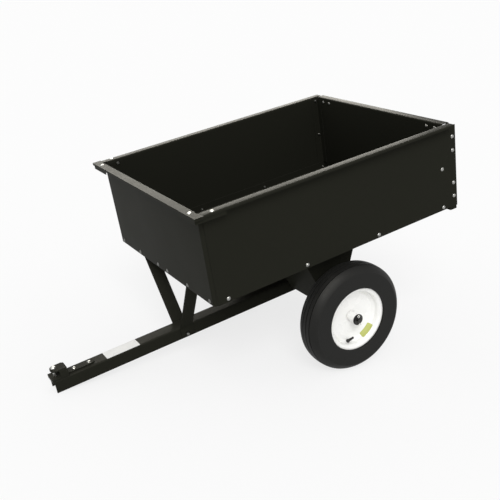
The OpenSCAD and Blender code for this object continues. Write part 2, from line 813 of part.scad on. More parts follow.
module pull_ring() color(zinc) stand()
    translate([brace_x, lug_y, -release_drop - ring_radius - lug_hole + ring_wire / 2 + side_gap])
        rotate([90, 0, 0]) rotate_extrude() translate([ring_radius, 0]) circle(d = ring_wire);

// Wheels, drawn on the right with the outer face towards +Y

module at_wheel() {
    translate([0, half_track, 0]) rotate([-90, 0, 0]) children();
}

// Tyre section: round sides under a flatter crown, open to the rim between the beads
module tyre_section() difference() {
    intersection() {
        translate([side_round_r, 0]) circle(side_round);
        translate([tyre_r - crown_round, 0]) circle(crown_round);
        translate([seat_r + side_gap, -tyre_width / 2]) square([tyre_r, tyre_width]);
    }
    // Air space, and its opening between the beads
    intersection() {
        translate([side_round_r, 0]) circle(side_round - tyre_wall);
        translate([rim_r + bead_rise, -tyre_width / 2 + tyre_wall])
            square([tyre_r, tyre_width - 2 * tyre_wall]);
    }
    translate([0, bead_thick - bead_face]) square([side_round_r, 2 * (bead_face - bead_thick)]);
    // Room for the rim's flanges outside the beads
    both_faces() translate([0, bead_face]) square([rim_r + past, tyre_width]);
    // Tread grooves
    for (i = [0 : groove_count - 1]) {
        across = (i - (groove_count - 1) / 2) * groove_step;
        crown = tyre_r - crown_round + sqrt(crown_round * crown_round - across * across);
        translate([crown - groove_deep, across - groove_wide / 2]) square([groove_deep * 2, groove_wide]);
    }
}

module tyre() at_wheel() rotate_extrude() tyre_section();

// Two dished halves on one hub tube
module rim() at_wheel() difference() {
    rotate_extrude() {
        polygon(strip(rim_path, rim_steel));
        polygon(strip(rim_back_path, rim_steel));
        translate([bush_dia / 2, -hub_half]) square([hub_wall, hub_length]);
    }
    at_valve() translate([0, 0, -rim_steel * 2]) cylinder(h = rim_steel * 4, r = valve_neck + side_gap);
}

// Flanged bush in each end of the hub
module bushes() at_wheel() for (end = [0, 1]) mirror([0, 0, end]) rotate_extrude() difference() {
    union() {
        translate([0, hub_half]) square([bush_flange_dia / 2, bush_flange]);
        translate([0, hub_half - bush_length]) square([bush_dia / 2 - run_gap, bush_length + overlap]);
    }
    translate([0, hub_half - bush_length - past])
        square([axle_r + run_gap, bush_length + bush_flange + 2 * past]);
}

// Rubber valve through the dish's cone, leaning out towards the hub
module at_valve() {
    middle = (cone_out + cone_in) / 2;
    slope = cone_out - cone_in;
    rotate([0, 0, valve_turn]) translate([0, middle[0], middle[1]])
        rotate([atan2(slope[1], slope[0]), 0, 0]) children();
}

module valve() at_wheel() at_valve() {
    stem = valve_length / 2;
    tip = valve_length - valve_base - stem;
    translate([0, 0, side_gap * 2]) {
        translate([0, 0, -rim_steel - valve_base])
            cylinder(h = valve_base + rim_steel + overlap, r = valve_neck);
        cylinder(h = valve_base, r = valve_neck + valve_skirt);
        translate([0, 0, valve_base - overlap])
            cylinder(h = stem + overlap, r1 = valve_foot, r2 = valve_shoulder);
        translate([0, 0, valve_base + stem - overlap]) cylinder(h = tip + overlap, r = valve_neck);
    }
}

module right_tyre() color(rubber) stand() tyre();
module left_tyre() color(rubber) stand() mirror([0, 1, 0]) tyre();
module right_rim() color(white) stand() rim();
module left_rim() color(white) stand() mirror([0, 1, 0]) rim();
module right_bushes() color(plastic) stand() bushes();
module left_bushes() color(plastic) stand() mirror([0, 1, 0]) bushes();
module right_valve() color(rubber) stand() valve();
module left_valve() color(rubber) stand() mirror([0, 1, 0]) valve();

tongue();
hitch_bracket();
hitch_bolts();
axle();
axle_spacers();
axle_washers();
cotter_pins();
hitch_pin();
release_pin();
pull_ring();
floor_pan();
left_side();
right_side();
front_panel();
left_rim_gusset();
right_rim_gusset();
left_front_track();
right_front_track();
left_rear_track();
right_rear_track();
left_axle_bracket();
right_axle_bracket();
left_brace();
right_brace();
side_bolts();
front_bolts();
track_bolts();
rim_bolts();
bracket_bolts();
brace_bolts();
tailgate_panel();
tailgate_bar();
tailgate_bolts();
left_tyre();
left_rim();
left_bushes();
left_valve();
right_tyre();
right_rim();
right_bushes();
right_valve();
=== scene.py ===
"""Dresses the tipping dump cart: finishes, closely formed steel, two bare plates and a studio."""

import json
import math

import bmesh
import bpy
from bpy.props import FloatProperty, FloatVectorProperty, PointerProperty
from mathutils import Matrix, Vector
from mathutils.bvhtree import BVHTree


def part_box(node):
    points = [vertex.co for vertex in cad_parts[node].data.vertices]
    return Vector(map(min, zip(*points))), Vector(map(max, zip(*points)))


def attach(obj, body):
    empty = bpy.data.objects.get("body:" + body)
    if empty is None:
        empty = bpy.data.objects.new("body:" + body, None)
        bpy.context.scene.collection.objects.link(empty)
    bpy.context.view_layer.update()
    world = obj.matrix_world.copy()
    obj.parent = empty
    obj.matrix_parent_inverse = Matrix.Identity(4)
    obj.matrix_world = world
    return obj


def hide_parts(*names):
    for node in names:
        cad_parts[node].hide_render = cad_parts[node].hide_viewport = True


bl_info = {
    "name": "Tipping dump cart",
    "version": (1, 0, 0),
    "blender": (4, 5, 0),
    "location": "View3D > Sidebar > Cart",
    "description": "Finishes, bare plates and studio for a tipping dump cart",
    "category": "Object",
}

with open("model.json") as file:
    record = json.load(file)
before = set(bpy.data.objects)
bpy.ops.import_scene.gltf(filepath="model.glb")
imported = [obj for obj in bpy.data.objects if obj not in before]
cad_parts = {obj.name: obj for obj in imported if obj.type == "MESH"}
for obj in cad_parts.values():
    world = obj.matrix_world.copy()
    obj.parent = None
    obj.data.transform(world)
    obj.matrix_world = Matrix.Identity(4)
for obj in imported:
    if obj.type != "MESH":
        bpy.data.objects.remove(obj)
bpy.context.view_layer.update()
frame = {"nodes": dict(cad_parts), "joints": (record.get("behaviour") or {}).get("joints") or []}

# Which CAD pieces take which finish
BED_STEEL = (
    "floor_pan", "left_side", "right_side", "front_panel",
    "left_rim_gusset", "right_rim_gusset",
    "left_front_track", "right_front_track", "left_rear_track", "right_rear_track",
)
UNDER_STEEL = ("left_axle_bracket", "right_axle_bracket", "left_brace", "right_brace")
TAILGATE_STEEL = ("tailgate_panel", "tailgate_bar")
CHASSIS_STEEL = ("tongue", "hitch_bracket")
BRIGHT_BOLTS = ("rim_bolts",)
# The side, track and hitch bolts take a darker copy of the zinc, as painted shade
SHADED_SIDE_BOLTS = ("side_bolts", "track_bolts", "hitch_bolts")
# Fasteners lower down take a still darker copy of the zinc, as painted shade
SHADED_LOWER_BOLTS = ("front_bolts", "bracket_bolts", "brace_bolts", "tailgate_bolts")
AXLE_STEEL = ("axle", "axle_spacers", "axle_washers")
BRIGHT_PINS = ("hitch_pin", "cotter_pins")
# The release pin and its ring below the bed take that darker zinc, as painted shade
SHADED_LOWER_PINS = ("release_pin", "pull_ring")
SIDES = ("left", "right")

# How far cutters run past what they cut, and how far joined solids run into each other
PAST = 0.001
OVERLAP = 0.00001
# Points closer than this are one, and edges that turn less than this are smooth
MERGE = 0.000001
CREASE = math.radians(30)
# Sides of a round solid, and steps of an arc and of a bend
ROUND_SIDES = 40
ARC_STEPS = 16
BEND_STEPS = 6
# Rows near the end of a plate, as shares of its corners' radius
CORNER_ROWS = (0, 0.1, 0.3, 0.6)


# Settings

def number(name, description, default, **more):
    """A number that a user may change."""
    return FloatProperty(name=name, description=description, default=default, **more)


def numbers(name, description, default, **more):
    """A row of numbers that a user may change."""
    return FloatVectorProperty(name=name, description=description, default=default, **more)


def length(name, description, default):
    """A length in metres."""
    return number(name, description, default, min=0, unit="LENGTH", precision=4)


def fraction(name, description, default):
    """A number from 0 to 1."""
    return number(name, description, default, min=0, max=1, subtype="FACTOR")


def tint(name, description, default):
    """A colour."""
    return numbers(name, description, default, min=0, max=1, subtype="COLOR")


def location(name, description, default):
    """A place in metres."""
    return numbers(name, description, default, subtype="TRANSLATION")


class CartPaint(bpy.types.PropertyGroup):
    """Black enamel on the pressed steel"""

    colour: tint("Colour", "Black enamel", (0.0155, 0.0157, 0.0118))
    dust_colour: tint("Dust colour", "Thin dust film on the enamel", (0.075, 0.072, 0.060))
    rubbed_colour: tint("Rubbed colour", "Enamel worn thin along edges", (0.030, 0.030, 0.028))
    gloss_colour: tint("Gloss colour", "Tint of what the enamel's skin reflects", (1.0, 0.99, 0.88))
    roughness: fraction("Roughness", "Mean roughness of the enamel", 0.30)
    # Less gloss below the bed is painted shade, for the shade there
    under_shade_roughness: fraction("Roughness underneath", "Mean roughness of the enamel below the bed", 0.45)
    ior: number("Refraction", "Refractive index of the enamel's skin", 1.06, min=1, max=2)
    under_shade_ior: number(
        "Refraction underneath", "Refractive index of the thin enamel below the bed", 1.035, min=1, max=2)
    peel_size: length("Peel size", "Distance between the enamel's ripples", 0.004)


class CartSteel(bpy.types.PropertyGroup):
    """Pressed and bent steel that the scene forms more closely than the solids"""

    sheet: length("Sheet", "Thickness of the bed's sheet", 0.002)
    bend: length("Bend", "Outer radius of the bed's bends", 0.005)
    corner: length("Corner", "Front of the bed to where the side walls start", 0.010)
    side_rim: length("Side rim", "Width of the side rims", 0.033)
    rim_lip: length("Rim lip", "Depth of the rims' lips", 0.009)
    fin_drop: length("Fin drop", "Top of the rims to the top of the fins behind them", 0.013)
    gate_rim: length("Gate rim", "Width of the tailgate's top rim", 0.033)
    gusset_leg: length("Gusset leg", "Length of each leg of the corner gussets", 0.108)
    gusset_skirt: length("Gusset skirt", "Depth of the gussets' skirts below the rim's top", 0.022)
    gusset_steel: length("Gusset steel", "Thickness of the gussets", 0.0025)
    gusset_gap: length("Gusset gap", "Gap between the gussets and the rims' lips", 0.0003)
    trough_half: length("Trough half", "Half the length of each axle trough at the floor", 0.118)
    trough_foot: length("Trough foot", "Radius of the trough's foot round the axle", 0.018)
    trough_gap: length("Trough gap", "Side of the tongue to the trough's open end", 0.010)
    trough_steel: length("Trough steel", "Thickness of the troughs", 0.003)
    trough_flange: length("Trough flange", "Width of the flange under the floor", 0.039)
    boss: length("Boss", "Length of the boss outside each trough", 0.009)
    boss_wall: length("Boss wall", "Wall of that boss round the axle", 0.006)
    axle_room: length("Axle room", "Room round the axle in that boss", 0.0001)
    brace_steel: length("Brace steel", "Thickness of the brace straps", 0.005)
    brace_tab: length("Brace tab", "Width of the straps' tabs under the floor", 0.042)
    brace_bend: length("Brace bend", "Axle's height to where the straps start to lean", 0.009)
    brace_toe: length("Brace toe", "Release pin to the end of the straps' toes", 0.012)
    release_radius: length("Release radius", "Radius of the release pin", 0.006)
    pin_room: length("Pin room", "Room round the release pin in the straps' slots", 0.0006)
    jaw_plate: length("Jaw plate", "Thickness of the bent hitch plate", 0.005)
    jaw_width: length("Jaw width", "Width of the upper jaw", 0.043)
    jaw_bend: length("Jaw bend", "Outer radius of the bend behind the upper jaw", 0.009)
    jaw_bow: length("Jaw bow", "How far the radius of the jaw's front exceeds half its width", 0.003)
    jaw_setback: length("Jaw setback", "Front of the tongue to the front of the upper jaw", 0.001)
    jaw_length: length("Jaw length", "Front of the upper jaw to its rise", 0.053)
    hitch_nose: length("Hitch nose", "How far the lower jaw stands ahead of the tongue", 0.005)
    hitch_lip: length("Hitch lip", "Depth of the lower jaw's lip", 0.012)
    hood_steel: length("Hood steel", "Thickness of the hood's sides", 0.004)
    hood_inset: length("Hood inset", "Side of the tongue to the foot of the hood's sides", 0.0015)
    hood_setback: length("Hood setback", "Pin's axis to the front of the hood's sides", 0.012)
    strap_width: length("Strap width", "Width of the strap behind the jaw", 0.032)
    pin_radius: length("Pin radius", "Radius of the hitch pin", 0.00625)
    pin_head: length("Pin head", "Radius of the hitch pin's head", 0.0085)
    pin_collar: length("Pin collar", "Upright part of that head", 0.004)
    pin_chamfer: length("Pin chamfer", "Height of the chamfer under that head", 0.0008)
    pin_taper: length("Pin taper", "Length of the hitch pin's tapered end", 0.008)
    pin_point: length("Pin point", "Radius of the hitch pin at its end", 0.0033)
    jaw_room: length("Jaw room", "Room round the hitch pin in the jaws", 0.00035)
    bolt_hole: length("Bolt hole", "Radius of the bolt holes", 0.00325)


class CartMetal(bpy.types.PropertyGroup):
    """Zinc plate on the fasteners, axle and pins"""

    colour: tint("Colour", "Bright zinc", (0.74, 0.74, 0.71))
    dull_colour: tint("Dull colour", "Bright zinc gone dull", (0.42, 0.42, 0.40))
    # A darker copy of the zinc for the side bolts: painted shade
    shaded_satin_colour: tint("Satin colour", "Satin zinc of the side bolts", (0.36, 0.36, 0.345))
    # A still darker copy of the zinc for the fasteners lower down: painted shade
    shaded_grey_colour: tint("Grey colour", "Grey zinc of the lower fasteners", (0.20, 0.20, 0.19))
    oily_colour: tint("Oily colour", "Dark oiled steel of the axle", (0.075, 0.074, 0.070))
    worn: fraction("Worn", "Brightness left where satin, grey and oiled steel has dulled", 0.6)
    roughness: fraction("Roughness", "Mean roughness of the plating", 0.32)


class CartWheel(bpy.types.PropertyGroup):
    """Tyres, rims, bushes and valves"""

    rubber: tint("Rubber", "Tyre rubber", (0.0075, 0.0075, 0.0068))
    bloom: tint("Bloom", "Grey bloom on the rubber", (0.020, 0.020, 0.018))
    enamel: tint("Rim enamel", "White enamel on the rims", (0.90, 0.90, 0.88))
    enamel_stain: tint("Rim stain", "Warm grey handling marks on the rims", (0.60, 0.57, 0.53))
    nylon: tint("Bush nylon", "Black nylon of the bushes", (0.012, 0.012, 0.012))


class CartPlates(bpy.types.PropertyGroup):
    """The bare label on the tongue and the bare sticker in the left rim"""

    label_colour: tint("Label colour", "White film of the tongue label", (0.82, 0.82, 0.80))
    label_middle: length("Label middle", "Axle to the middle of the label, along the tongue", 0.7175)
    label_length: length("Label length", "Length along the tongue", 0.126)
    label_width: length("Label width", "Width across the tongue", 0.050)
    sticker_colour: tint("Sticker colour", "Yellow-green film of the rim sticker", (0.48, 0.51, 0.16))
    sticker_angle: number(
        "Sticker angle", "Turn of the sticker below the rearward direction", math.radians(56),
        subtype="ANGLE")
    sticker_length: length("Sticker length", "Length round the rim", 0.054)
    sticker_inner: length("Sticker inner", "Wheel's middle plane to the sticker's inner edge", 0.010)
    sticker_outer: length("Sticker outer", "Wheel's middle plane to the sticker's outer edge", 0.027)
    corner: length("Corner", "Radius of the label's and sticker's corners", 0.003)
    film: length("Film", "Thickness of the label and sticker films", 0.0003)


class CartStage(bpy.types.PropertyGroup):
    """Floor, light and camera"""

    floor_colour: tint("Floor colour", "Matt white floor", (0.93, 0.93, 0.93))
    floor_half: length("Floor half", "Half the width of the floor", 40.0)
    floor_lift: fraction("Floor lift", "Share of plain white in the floor as it is seen", 0.75)
    sky_strength: number("Sky strength", "Strength of the even white surroundings", 0.62)
    sun_strength: number("Sun strength", "Strength of the broad key light", 1.7)
    sun_from: numbers(
        "Sun from", "Direction that the key light comes from", (-0.38, -0.66, 0.65), subtype="DIRECTION")
    sun_spread: number(
        "Sun spread", "Angular size of the key light", math.radians(30), subtype="ANGLE")
    panel_colour: tint("Panel colour", "Colour of the panels that show in gloss", (1.0, 0.96, 0.86))
    panel_aim: location("Panel aim", "Where both panels face", (0, 0, 0.4))
    rear_panel: location("Rear panel", "Place of the panel behind the cart", (1.3, 3.0, 2.3))
    rear_panel_size: numbers(
        "Rear panel size", "Width and height of the panel behind the cart", (3.2, 1.8),
        size=2, unit="LENGTH")
    rear_panel_power: number("Rear panel power", "Power of the panel behind the cart", 165, unit="POWER")
    wheel_panel: location("Wheel panel", "Place of the panel before the wheel", (-1.0, -1.45, 2.35))
    wheel_panel_size: numbers(
        "Wheel panel size", "Width and height of the panel before the wheel", (0.9, 0.9),
        size=2, unit="LENGTH")
    wheel_panel_power: number("Wheel panel power", "Power of the panel before the wheel", 60, unit="POWER")
    eye: location("Eye", "Camera place", (-1.3487, -2.2900, 1.3349))
    aim: location("Aim", "Point in the middle of the picture", (0.1278, 0.1113, 0.3086))
    lens: number("Lens", "Focal length in millimetres", 55.2)
    sensor: number("Sensor", "Width of the camera's sensor in millimetres", 36)


# Node helpers

def add(tree, kind, **values):
    """A new node with some of its values set."""
    node = tree.nodes.new(kind)
    for key, value in values.items():
        setattr(node, key, value)
    return node


def set_inputs(node, **values):
    """Sets unlinked sockets by name, with underscores for spaces."""
    for key, value in values.items():
        node.inputs[key.replace("_", " ")].default_value = value
    return node


def new_group(name, inputs, outputs):
    """An empty shader group with float inputs and outputs; returns it with its two end nodes."""
    group = bpy.data.node_groups.new(name, "ShaderNodeTree")
    for label, value in inputs.items():
        socket = group.interface.new_socket(name=label, in_out="INPUT", socket_type="NodeSocketFloat")
        socket.default_value = value
    for label in outputs:
        group.interface.new_socket(name=label, in_out="OUTPUT", socket_type="NodeSocketFloat")
    return group, add(group, "NodeGroupInput"), add(group, "NodeGroupOutput")


def place_group(tree, name, **values):
    """An instance of a shared group, with its own values."""
    node = add(tree, "ShaderNodeGroup", node_tree=bpy.data.node_groups[name])
    return set_inputs(node, **values)


def math_node(tree, operation, first, second):
    """A Math node whose two sockets take a link or a number."""
    node = add(tree, "ShaderNodeMath", operation=operation)
    for socket, value in zip(node.inputs, (first, second)):
        if isinstance(value, bpy.types.NodeSocket):
            tree.links.new(value, socket)
        else:
            socket.default_value = value
    return node.outputs["Value"]


def mix_colours(tree, share, first, second):
    """A colour mix; the share is a link, and each colour a link or a triple."""
    node = add(tree, "ShaderNodeMix", data_type="RGBA")
    # Several sockets of this node share a name, so those for colours are taken by place
    factor, a, b = node.inputs[0], node.inputs[6], node.inputs[7]
    tree.links.new(share, factor)
    for socket, value in ((a, first), (b, second)):
        if isinstance(value, bpy.types.NodeSocket):
            tree.links.new(value, socket)
        else:
            socket.default_value = (*value, 1)
    return node.outputs[2]


def seen_directly(tree):
    """1 for rays from the camera, from gloss or through glass, and 0 for rays that carry light."""
    path = add(tree, "ShaderNodeLightPath").outputs
    gloss = math_node(tree, "MAXIMUM", path["Is Glossy Ray"], path["Is Transmission Ray"])
    return math_node(tree, "MAXIMUM", path["Is Camera Ray"], gloss)


def noise_over(tree, size=None, **values):
    """Noise in the piece's own space; a linked size in metres sets its scale."""
    where = add(tree, "ShaderNodeTexCoord")
    noise = set_inputs(add(tree, "ShaderNodeTexNoise"), **values)
    tree.links.new(where.outputs["Object"], noise.inputs["Vector"])
    if size is not None:
        tree.links.new(math_node(tree, "DIVIDE", 1.0, size), noise.inputs["Scale"])
    return noise.outputs["Fac"]


def scaled(colour, factor):
    """A colour made lighter or darker."""
    return [part * factor for part in colour]


# Shared effects

def build_peel():
    """Fine ripples of sprayed enamel or of a moulded skin, as a height from 0 to 1."""
    group, given, made = new_group("Peel", {"Size": 0.004}, ["Height"])
    noise = noise_over(group, given.outputs["Size"], Detail=2.0, Roughness=0.45)
    group.links.new(noise, made.inputs["Height"])


def build_mottle():
    """Broad soft patches, as a mask from 0 to 1."""
    group, given, made = new_group("Mottle", {"Size": 0.12, "Contrast": 0.25}, ["Mask"])
    noise = noise_over(group, given.outputs["Size"], Detail=4.0, Roughness=0.55, Distortion=0.4)
    ramp = add(group, "ShaderNodeMapRange")
    low = math_node(group, "SUBTRACT", 0.5, given.outputs["Contrast"])
    high = math_node(group, "ADD", 0.5, given.outputs["Contrast"])
    group.links.new(noise, ramp.inputs["Value"])
    group.links.new(low, ramp.inputs["From Min"])
    group.links.new(high, ramp.inputs["From Max"])
    group.links.new(ramp.outputs["Result"], made.inputs["Mask"])


def build_dust():
    """Dust that settles on faces that look up, in patches, as a mask from 0 to 1."""
    group, given, made = new_group("Settled dust", {"Size": 0.05, "Amount": 0.3}, ["Mask"])
    where = add(group, "ShaderNodeTexCoord")
    split = add(group, "ShaderNodeSeparateXYZ")
    group.links.new(where.outputs["Normal"], split.inputs["Vector"])
    facing = add(group, "ShaderNodeMapRange", interpolation_type="SMOOTHSTEP")
    set_inputs(facing, From_Min=0.1, From_Max=0.95)
    group.links.new(split.outputs["Z"], facing.inputs["Value"])
    noise = noise_over(group, given.outputs["Size"], Detail=6.0, Roughness=0.7)
    patch = math_node(group, "MULTIPLY", facing.outputs["Result"], noise)
    group.links.new(math_node(group, "MULTIPLY", patch, given.outputs["Amount"]), made.inputs["Mask"])


def build_rubbed():
    """Wear along edges: where a rounded normal leaves the true one, broken up by noise."""
    group, given, made = new_group("Rubbed edges", {"Width": 0.0015, "Amount": 1.0}, ["Mask"])
    true_normal = add(group, "ShaderNodeNewGeometry")
    rounded = add(group, "ShaderNodeBevel", samples=4)
    group.links.new(given.outputs["Width"], rounded.inputs["Radius"])
    together = add(group, "ShaderNodeVectorMath", operation="DOT_PRODUCT")
    group.links.new(true_normal.outputs["Normal"], together.inputs[0])
    group.links.new(rounded.outputs["Normal"], together.inputs[1])
    edge = add(group, "ShaderNodeMapRange")
    set_inputs(edge, From_Min=0.98, From_Max=0.80)
    group.links.new(together.outputs["Value"], edge.inputs["Value"])
    noise = noise_over(group, Scale=55.0, Detail=5.0, Roughness=0.65)
    broken = math_node(group, "MULTIPLY", edge.outputs["Result"], noise)
    group.links.new(math_node(group, "MULTIPLY", broken, given.outputs["Amount"]), made.inputs["Mask"])


def build_painted_crevice_shade():
    """Painted shade in corners that little light reaches, from ambient occlusion, as a mask from 0 to 1."""
    group, given, made = new_group("Crevice", {"Distance": 0.01, "Amount": 0.5}, ["Mask"])
    closed = add(group, "ShaderNodeAmbientOcclusion", samples=8)
    group.links.new(given.outputs["Distance"], closed.inputs["Distance"])
    deep = add(group, "ShaderNodeMapRange")
    set_inputs(deep, From_Min=0.85, From_Max=0.25)
    group.links.new(closed.outputs["AO"], deep.inputs["Value"])
    group.links.new(math_node(group, "MULTIPLY", deep.outputs["Result"], given.outputs["Amount"]),
                    made.inputs["Mask"])


# Materials

def new_material(name):
    """A material with its shader; returns the material, its tree and the shader."""
    material = bpy.data.materials.new(name)
    material.use_nodes = True
    tree = material.node_tree
    return material, tree, tree.nodes["Principled BSDF"]


def vary_roughness(tree, shader, mask, low, high):
    """Roughness between two values, by a mask."""
    spread = add(tree, "ShaderNodeMapRange")
    set_inputs(spread, To_Min=low, To_Max=high)
    tree.links.new(mask, spread.inputs["Value"])
    tree.links.new(spread.outputs["Result"], shader.inputs["Roughness"])


def ripple(tree, shader, size, depth, strength):
    """Bump from the peel group."""
    bump = set_inputs(add(tree, "ShaderNodeBump"), Strength=strength, Distance=depth)
    peel = place_group(tree, "Peel", Size=size)
    tree.links.new(peel.outputs["Height"], bump.inputs["Height"])
    tree.links.new(bump.outputs["Normal"], shader.inputs["Normal"])


def black_enamel(name, paint, ior, roughness):
    """Sprayed black enamel with some dust and worn edges."""
    material, tree, shader = new_material(name)
    mottle = place_group(tree, "Mottle", Size=0.16, Contrast=0.3).outputs["Mask"]
    dust = place_group(tree, "Settled dust", Size=0.03, Amount=0.35).outputs["Mask"]
    rubbed = place_group(tree, "Rubbed edges", Width=0.0016, Amount=0.8).outputs["Mask"]
    dusted = mix_colours(tree, dust, paint.colour, paint.dust_colour)
    worn = mix_colours(tree, rubbed, dusted, paint.rubbed_colour)
    tree.links.new(worn, shader.inputs["Base Color"])
    vary_roughness(tree, shader, mottle, low=roughness - 0.04, high=roughness + 0.06)
    set_inputs(shader, IOR=ior, Specular_Tint=(*paint.gloss_colour, 1))
    ripple(tree, shader, size=paint.peel_size, depth=0.0004, strength=0.08)
    return material


def plated_steel(name, colour, worn, roughness):
    """Bright zinc, darker copies of it that paint shade, or oiled steel, with duller patches."""
    material, tree, shader = new_material(name)
    mottle = place_group(tree, "Mottle", Size=0.012, Contrast=0.2).outputs["Mask"]
    tree.links.new(mix_colours(tree, mottle, colour, worn), shader.inputs["Base Color"])
    vary_roughness(tree, shader, mottle, low=roughness - 0.06, high=roughness + 0.12)
    set_inputs(shader, Metallic=1.0)
    ripple(tree, shader, size=0.0015, depth=0.0002, strength=0.10)
    return material


def tyre_rubber(wheel):
    """Black rubber with a grey bloom along its edges."""
    material, tree, shader = new_material("tyre_rubber")
    mottle = place_group(tree, "Mottle", Size=0.035, Contrast=0.3).outputs["Mask"]
    rubbed = place_group(tree, "Rubbed edges", Width=0.003, Amount=0.9).outputs["Mask"]
    bloomed = mix_colours(tree, mottle, wheel.rubber, scaled(wheel.rubber, factor=1.35))
    colour = mix_colours(tree, rubbed, bloomed, wheel.bloom)
    tree.links.new(colour, shader.inputs["Base Color"])
    vary_roughness(tree, shader, mottle, low=0.48, high=0.62)
    set_inputs(shader, Specular_IOR_Level=0.16)
    ripple(tree, shader, size=0.0016, depth=0.0003, strength=0.15)
    return material


def white_enamel(wheel):
    """White enamel with handling marks, worn edges and painted shade in its corners."""
    material, tree, shader = new_material("white_enamel")
    mottle = place_group(tree, "Mottle", Size=0.06, Contrast=0.28).outputs["Mask"]
    rubbed = place_group(tree, "Rubbed edges", Width=0.002, Amount=0.5).outputs["Mask"]
    stain_strength = 0.12
    faint = math_node(tree, "MULTIPLY", mottle, stain_strength)
    marked = mix_colours(tree, faint, wheel.enamel, wheel.enamel_stain)
    # Painted shade: corners that little light reaches go towards half the stain colour
    painted_crevice_shade = place_group(tree, "Crevice", Distance=0.012, Amount=0.55).outputs["Mask"]
    worn = mix_colours(tree, rubbed, marked, wheel.enamel_stain)
    colour = mix_colours(tree, painted_crevice_shade, worn, scaled(wheel.enamel_stain, factor=0.5))
    tree.links.new(colour, shader.inputs["Base Color"])
    vary_roughness(tree, shader, mottle, low=0.22, high=0.32)
    set_inputs(shader, Coat_Weight=0.3, Coat_Roughness=0.08)
    ripple(tree, shader, size=0.005, depth=0.0004, strength=0.06)
    return material


def moulded_black(name, colour, roughness):
    """Black nylon or moulded rubber of the small parts."""
    material, tree, shader = new_material(name)
    mottle = place_group(tree, "Mottle", Size=0.01, Contrast=0.3).outputs["Mask"]
    patched = mix_colours(tree, mottle, colour, scaled(colour, factor=1.6))
    tree.links.new(patched, shader.inputs["Base Color"])
    vary_roughness(tree, shader, mottle, low=roughness - 0.05, high=roughness + 0.08)
    ripple(tree, shader, size=0.001, depth=0.0002, strength=0.12)
    return material


def plain_film(name, colour):
    """Thin plastic film of the label and the sticker, a little soiled."""
    material, tree, shader = new_material(name)
    mottle = place_group(tree, "Mottle", Size=0.02, Contrast=0.3).outputs["Mask"]
    soil_strength = 0.25
    faint = math_node(tree, "MULTIPLY", mottle, soil_strength)
    soiled = mix_colours(tree, faint, colour, scaled(colour, factor=0.86))
    tree.links.new(soiled, shader.inputs["Base Color"])
    vary_roughness(tree, shader, mottle, low=0.40, high=0.52)
    set_inputs(shader, Specular_IOR_Level=0.12)
    ripple(tree, shader, size=0.008, depth=0.0002, strength=0.08)
    return material


def shared_material(name, maker, *given):
    """The material of that name, made on first use."""
    return bpy.data.materials.get(name) or maker(*given)


def bed_enamel(context):
    """The enamel of the bed, tailgate, tongue and hitch."""
    paint = context.scene.cart_paint
    return shared_material("black_enamel", black_enamel, "black_enamel", paint, paint.ior, paint.roughness)


def under_enamel(context):
    """A duller copy of the bed's enamel, with less gloss, for the troughs and straps below the bed: painted
    shade for the shade there.
    """
    paint = context.scene.cart_paint
    return shared_material("under_enamel", black_enamel, "under_enamel", paint,
                           paint.under_shade_ior, paint.under_shade_roughness)


def plating(context, name):
    """One of the platings by its name."""
    metal = context.scene.cart_metal
    colours = {
        "bright_zinc": (metal.colour, metal.dull_colour),
        "satin_zinc": (metal.shaded_satin_colour, scaled(metal.shaded_satin_colour, metal.worn)),
        "grey_zinc": (metal.shaded_grey_colour, scaled(metal.shaded_grey_colour, metal.worn)),
        "oiled_steel": (metal.oily_colour, scaled(metal.oily_colour, metal.worn)),
    }
    return shared_material(name, plated_steel, name, *colours[name], metal.roughness)


def dress(nodes, material):
    """Gives CAD nodes one material."""
    for name in nodes:
        slots = frame["nodes"][name].data.materials
        slots.clear()
        slots.append(material)


# Places

def square_to_bed():
    """Matrix from the bed's own axes, with the middle of the axle at zero, to the part's."""
    low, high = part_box("axle")
    lift = next(j for j in frame["joints"] if j["name"] == "tailgate_lift")
    up = Vector(lift["axis"]).normalized()
    right = Vector((0, 1, 0))
    rear = right.cross(up)
    turn = Matrix((rear, right, up)).transposed().to_4x4()
    return Matrix.Translation((low + high) / 2) @ turn


def bed_box(node):
    """Lowest and highest corners of a CAD node along the bed's own axes, with the axle at zero."""
    to_bed = square_to_bed().inverted()
    spots = [to_bed @ v.co for v in frame["nodes"][node].data.vertices]
    return (Vector([min(p[k] for p in spots) for k in range(3)]),
            Vector([max(p[k] for p in spots) for k in range(3)]))


# Meshes and objects

def settled(draft, name):
    """The data of a drawn mesh, whose drawing is then freed."""
    data = bpy.data.meshes.new(name)
    draft.to_mesh(data)
    draft.free()
    return data


def put_in_scene(name, data):
    """A new object with some data."""
    thing = bpy.data.objects.new(name, data)
    bpy.context.scene.collection.objects.link(thing)
    return thing


# Bent steel, drawn along the bed's own axes

def arc(middle, radius, start, end, steps):
    """Points of an arc, with its angles in radians."""
    turns = [start + (end - start) * i / steps for i in range(steps + 1)]
    return [(middle[0] + radius * math.cos(t), middle[1] + radius * math.sin(t)) for t in turns]


def bent(path, thick, bend=0.0):
    """Outline of sheet on the right-hand side of a path that only turns right."""
    spots = [Vector(p) for p in path]
    ways = [(b - a).normalized() for a, b in zip(spots, spots[1:])]
    insides = [Vector((w.y, -w.x)) for w in ways]
    outer = [spots[0]]
    inner = [spots[0] + insides[0] * thick]
    for corner, before, after in zip(spots[1:], insides, insides[1:]):
        turn = before.angle(after)
        deep = (before + after).normalized() / math.cos(turn / 2)
        if bend > thick:
            middle = corner + deep * bend
            start = math.atan2(-before.y, -before.x)
            end = start - turn
            outer += [Vector(p) for p in arc(middle, bend, start, end, BEND_STEPS)]
            inner += [Vector(p) for p in arc(middle, bend - thick, start, end, BEND_STEPS)]
        else:
            outer.append(corner)
            inner.append(corner + deep * thick)
    outer.append(spots[-1])
    inner.append(spots[-1] + insides[-1] * thick)
    return outer + inner[::-1]


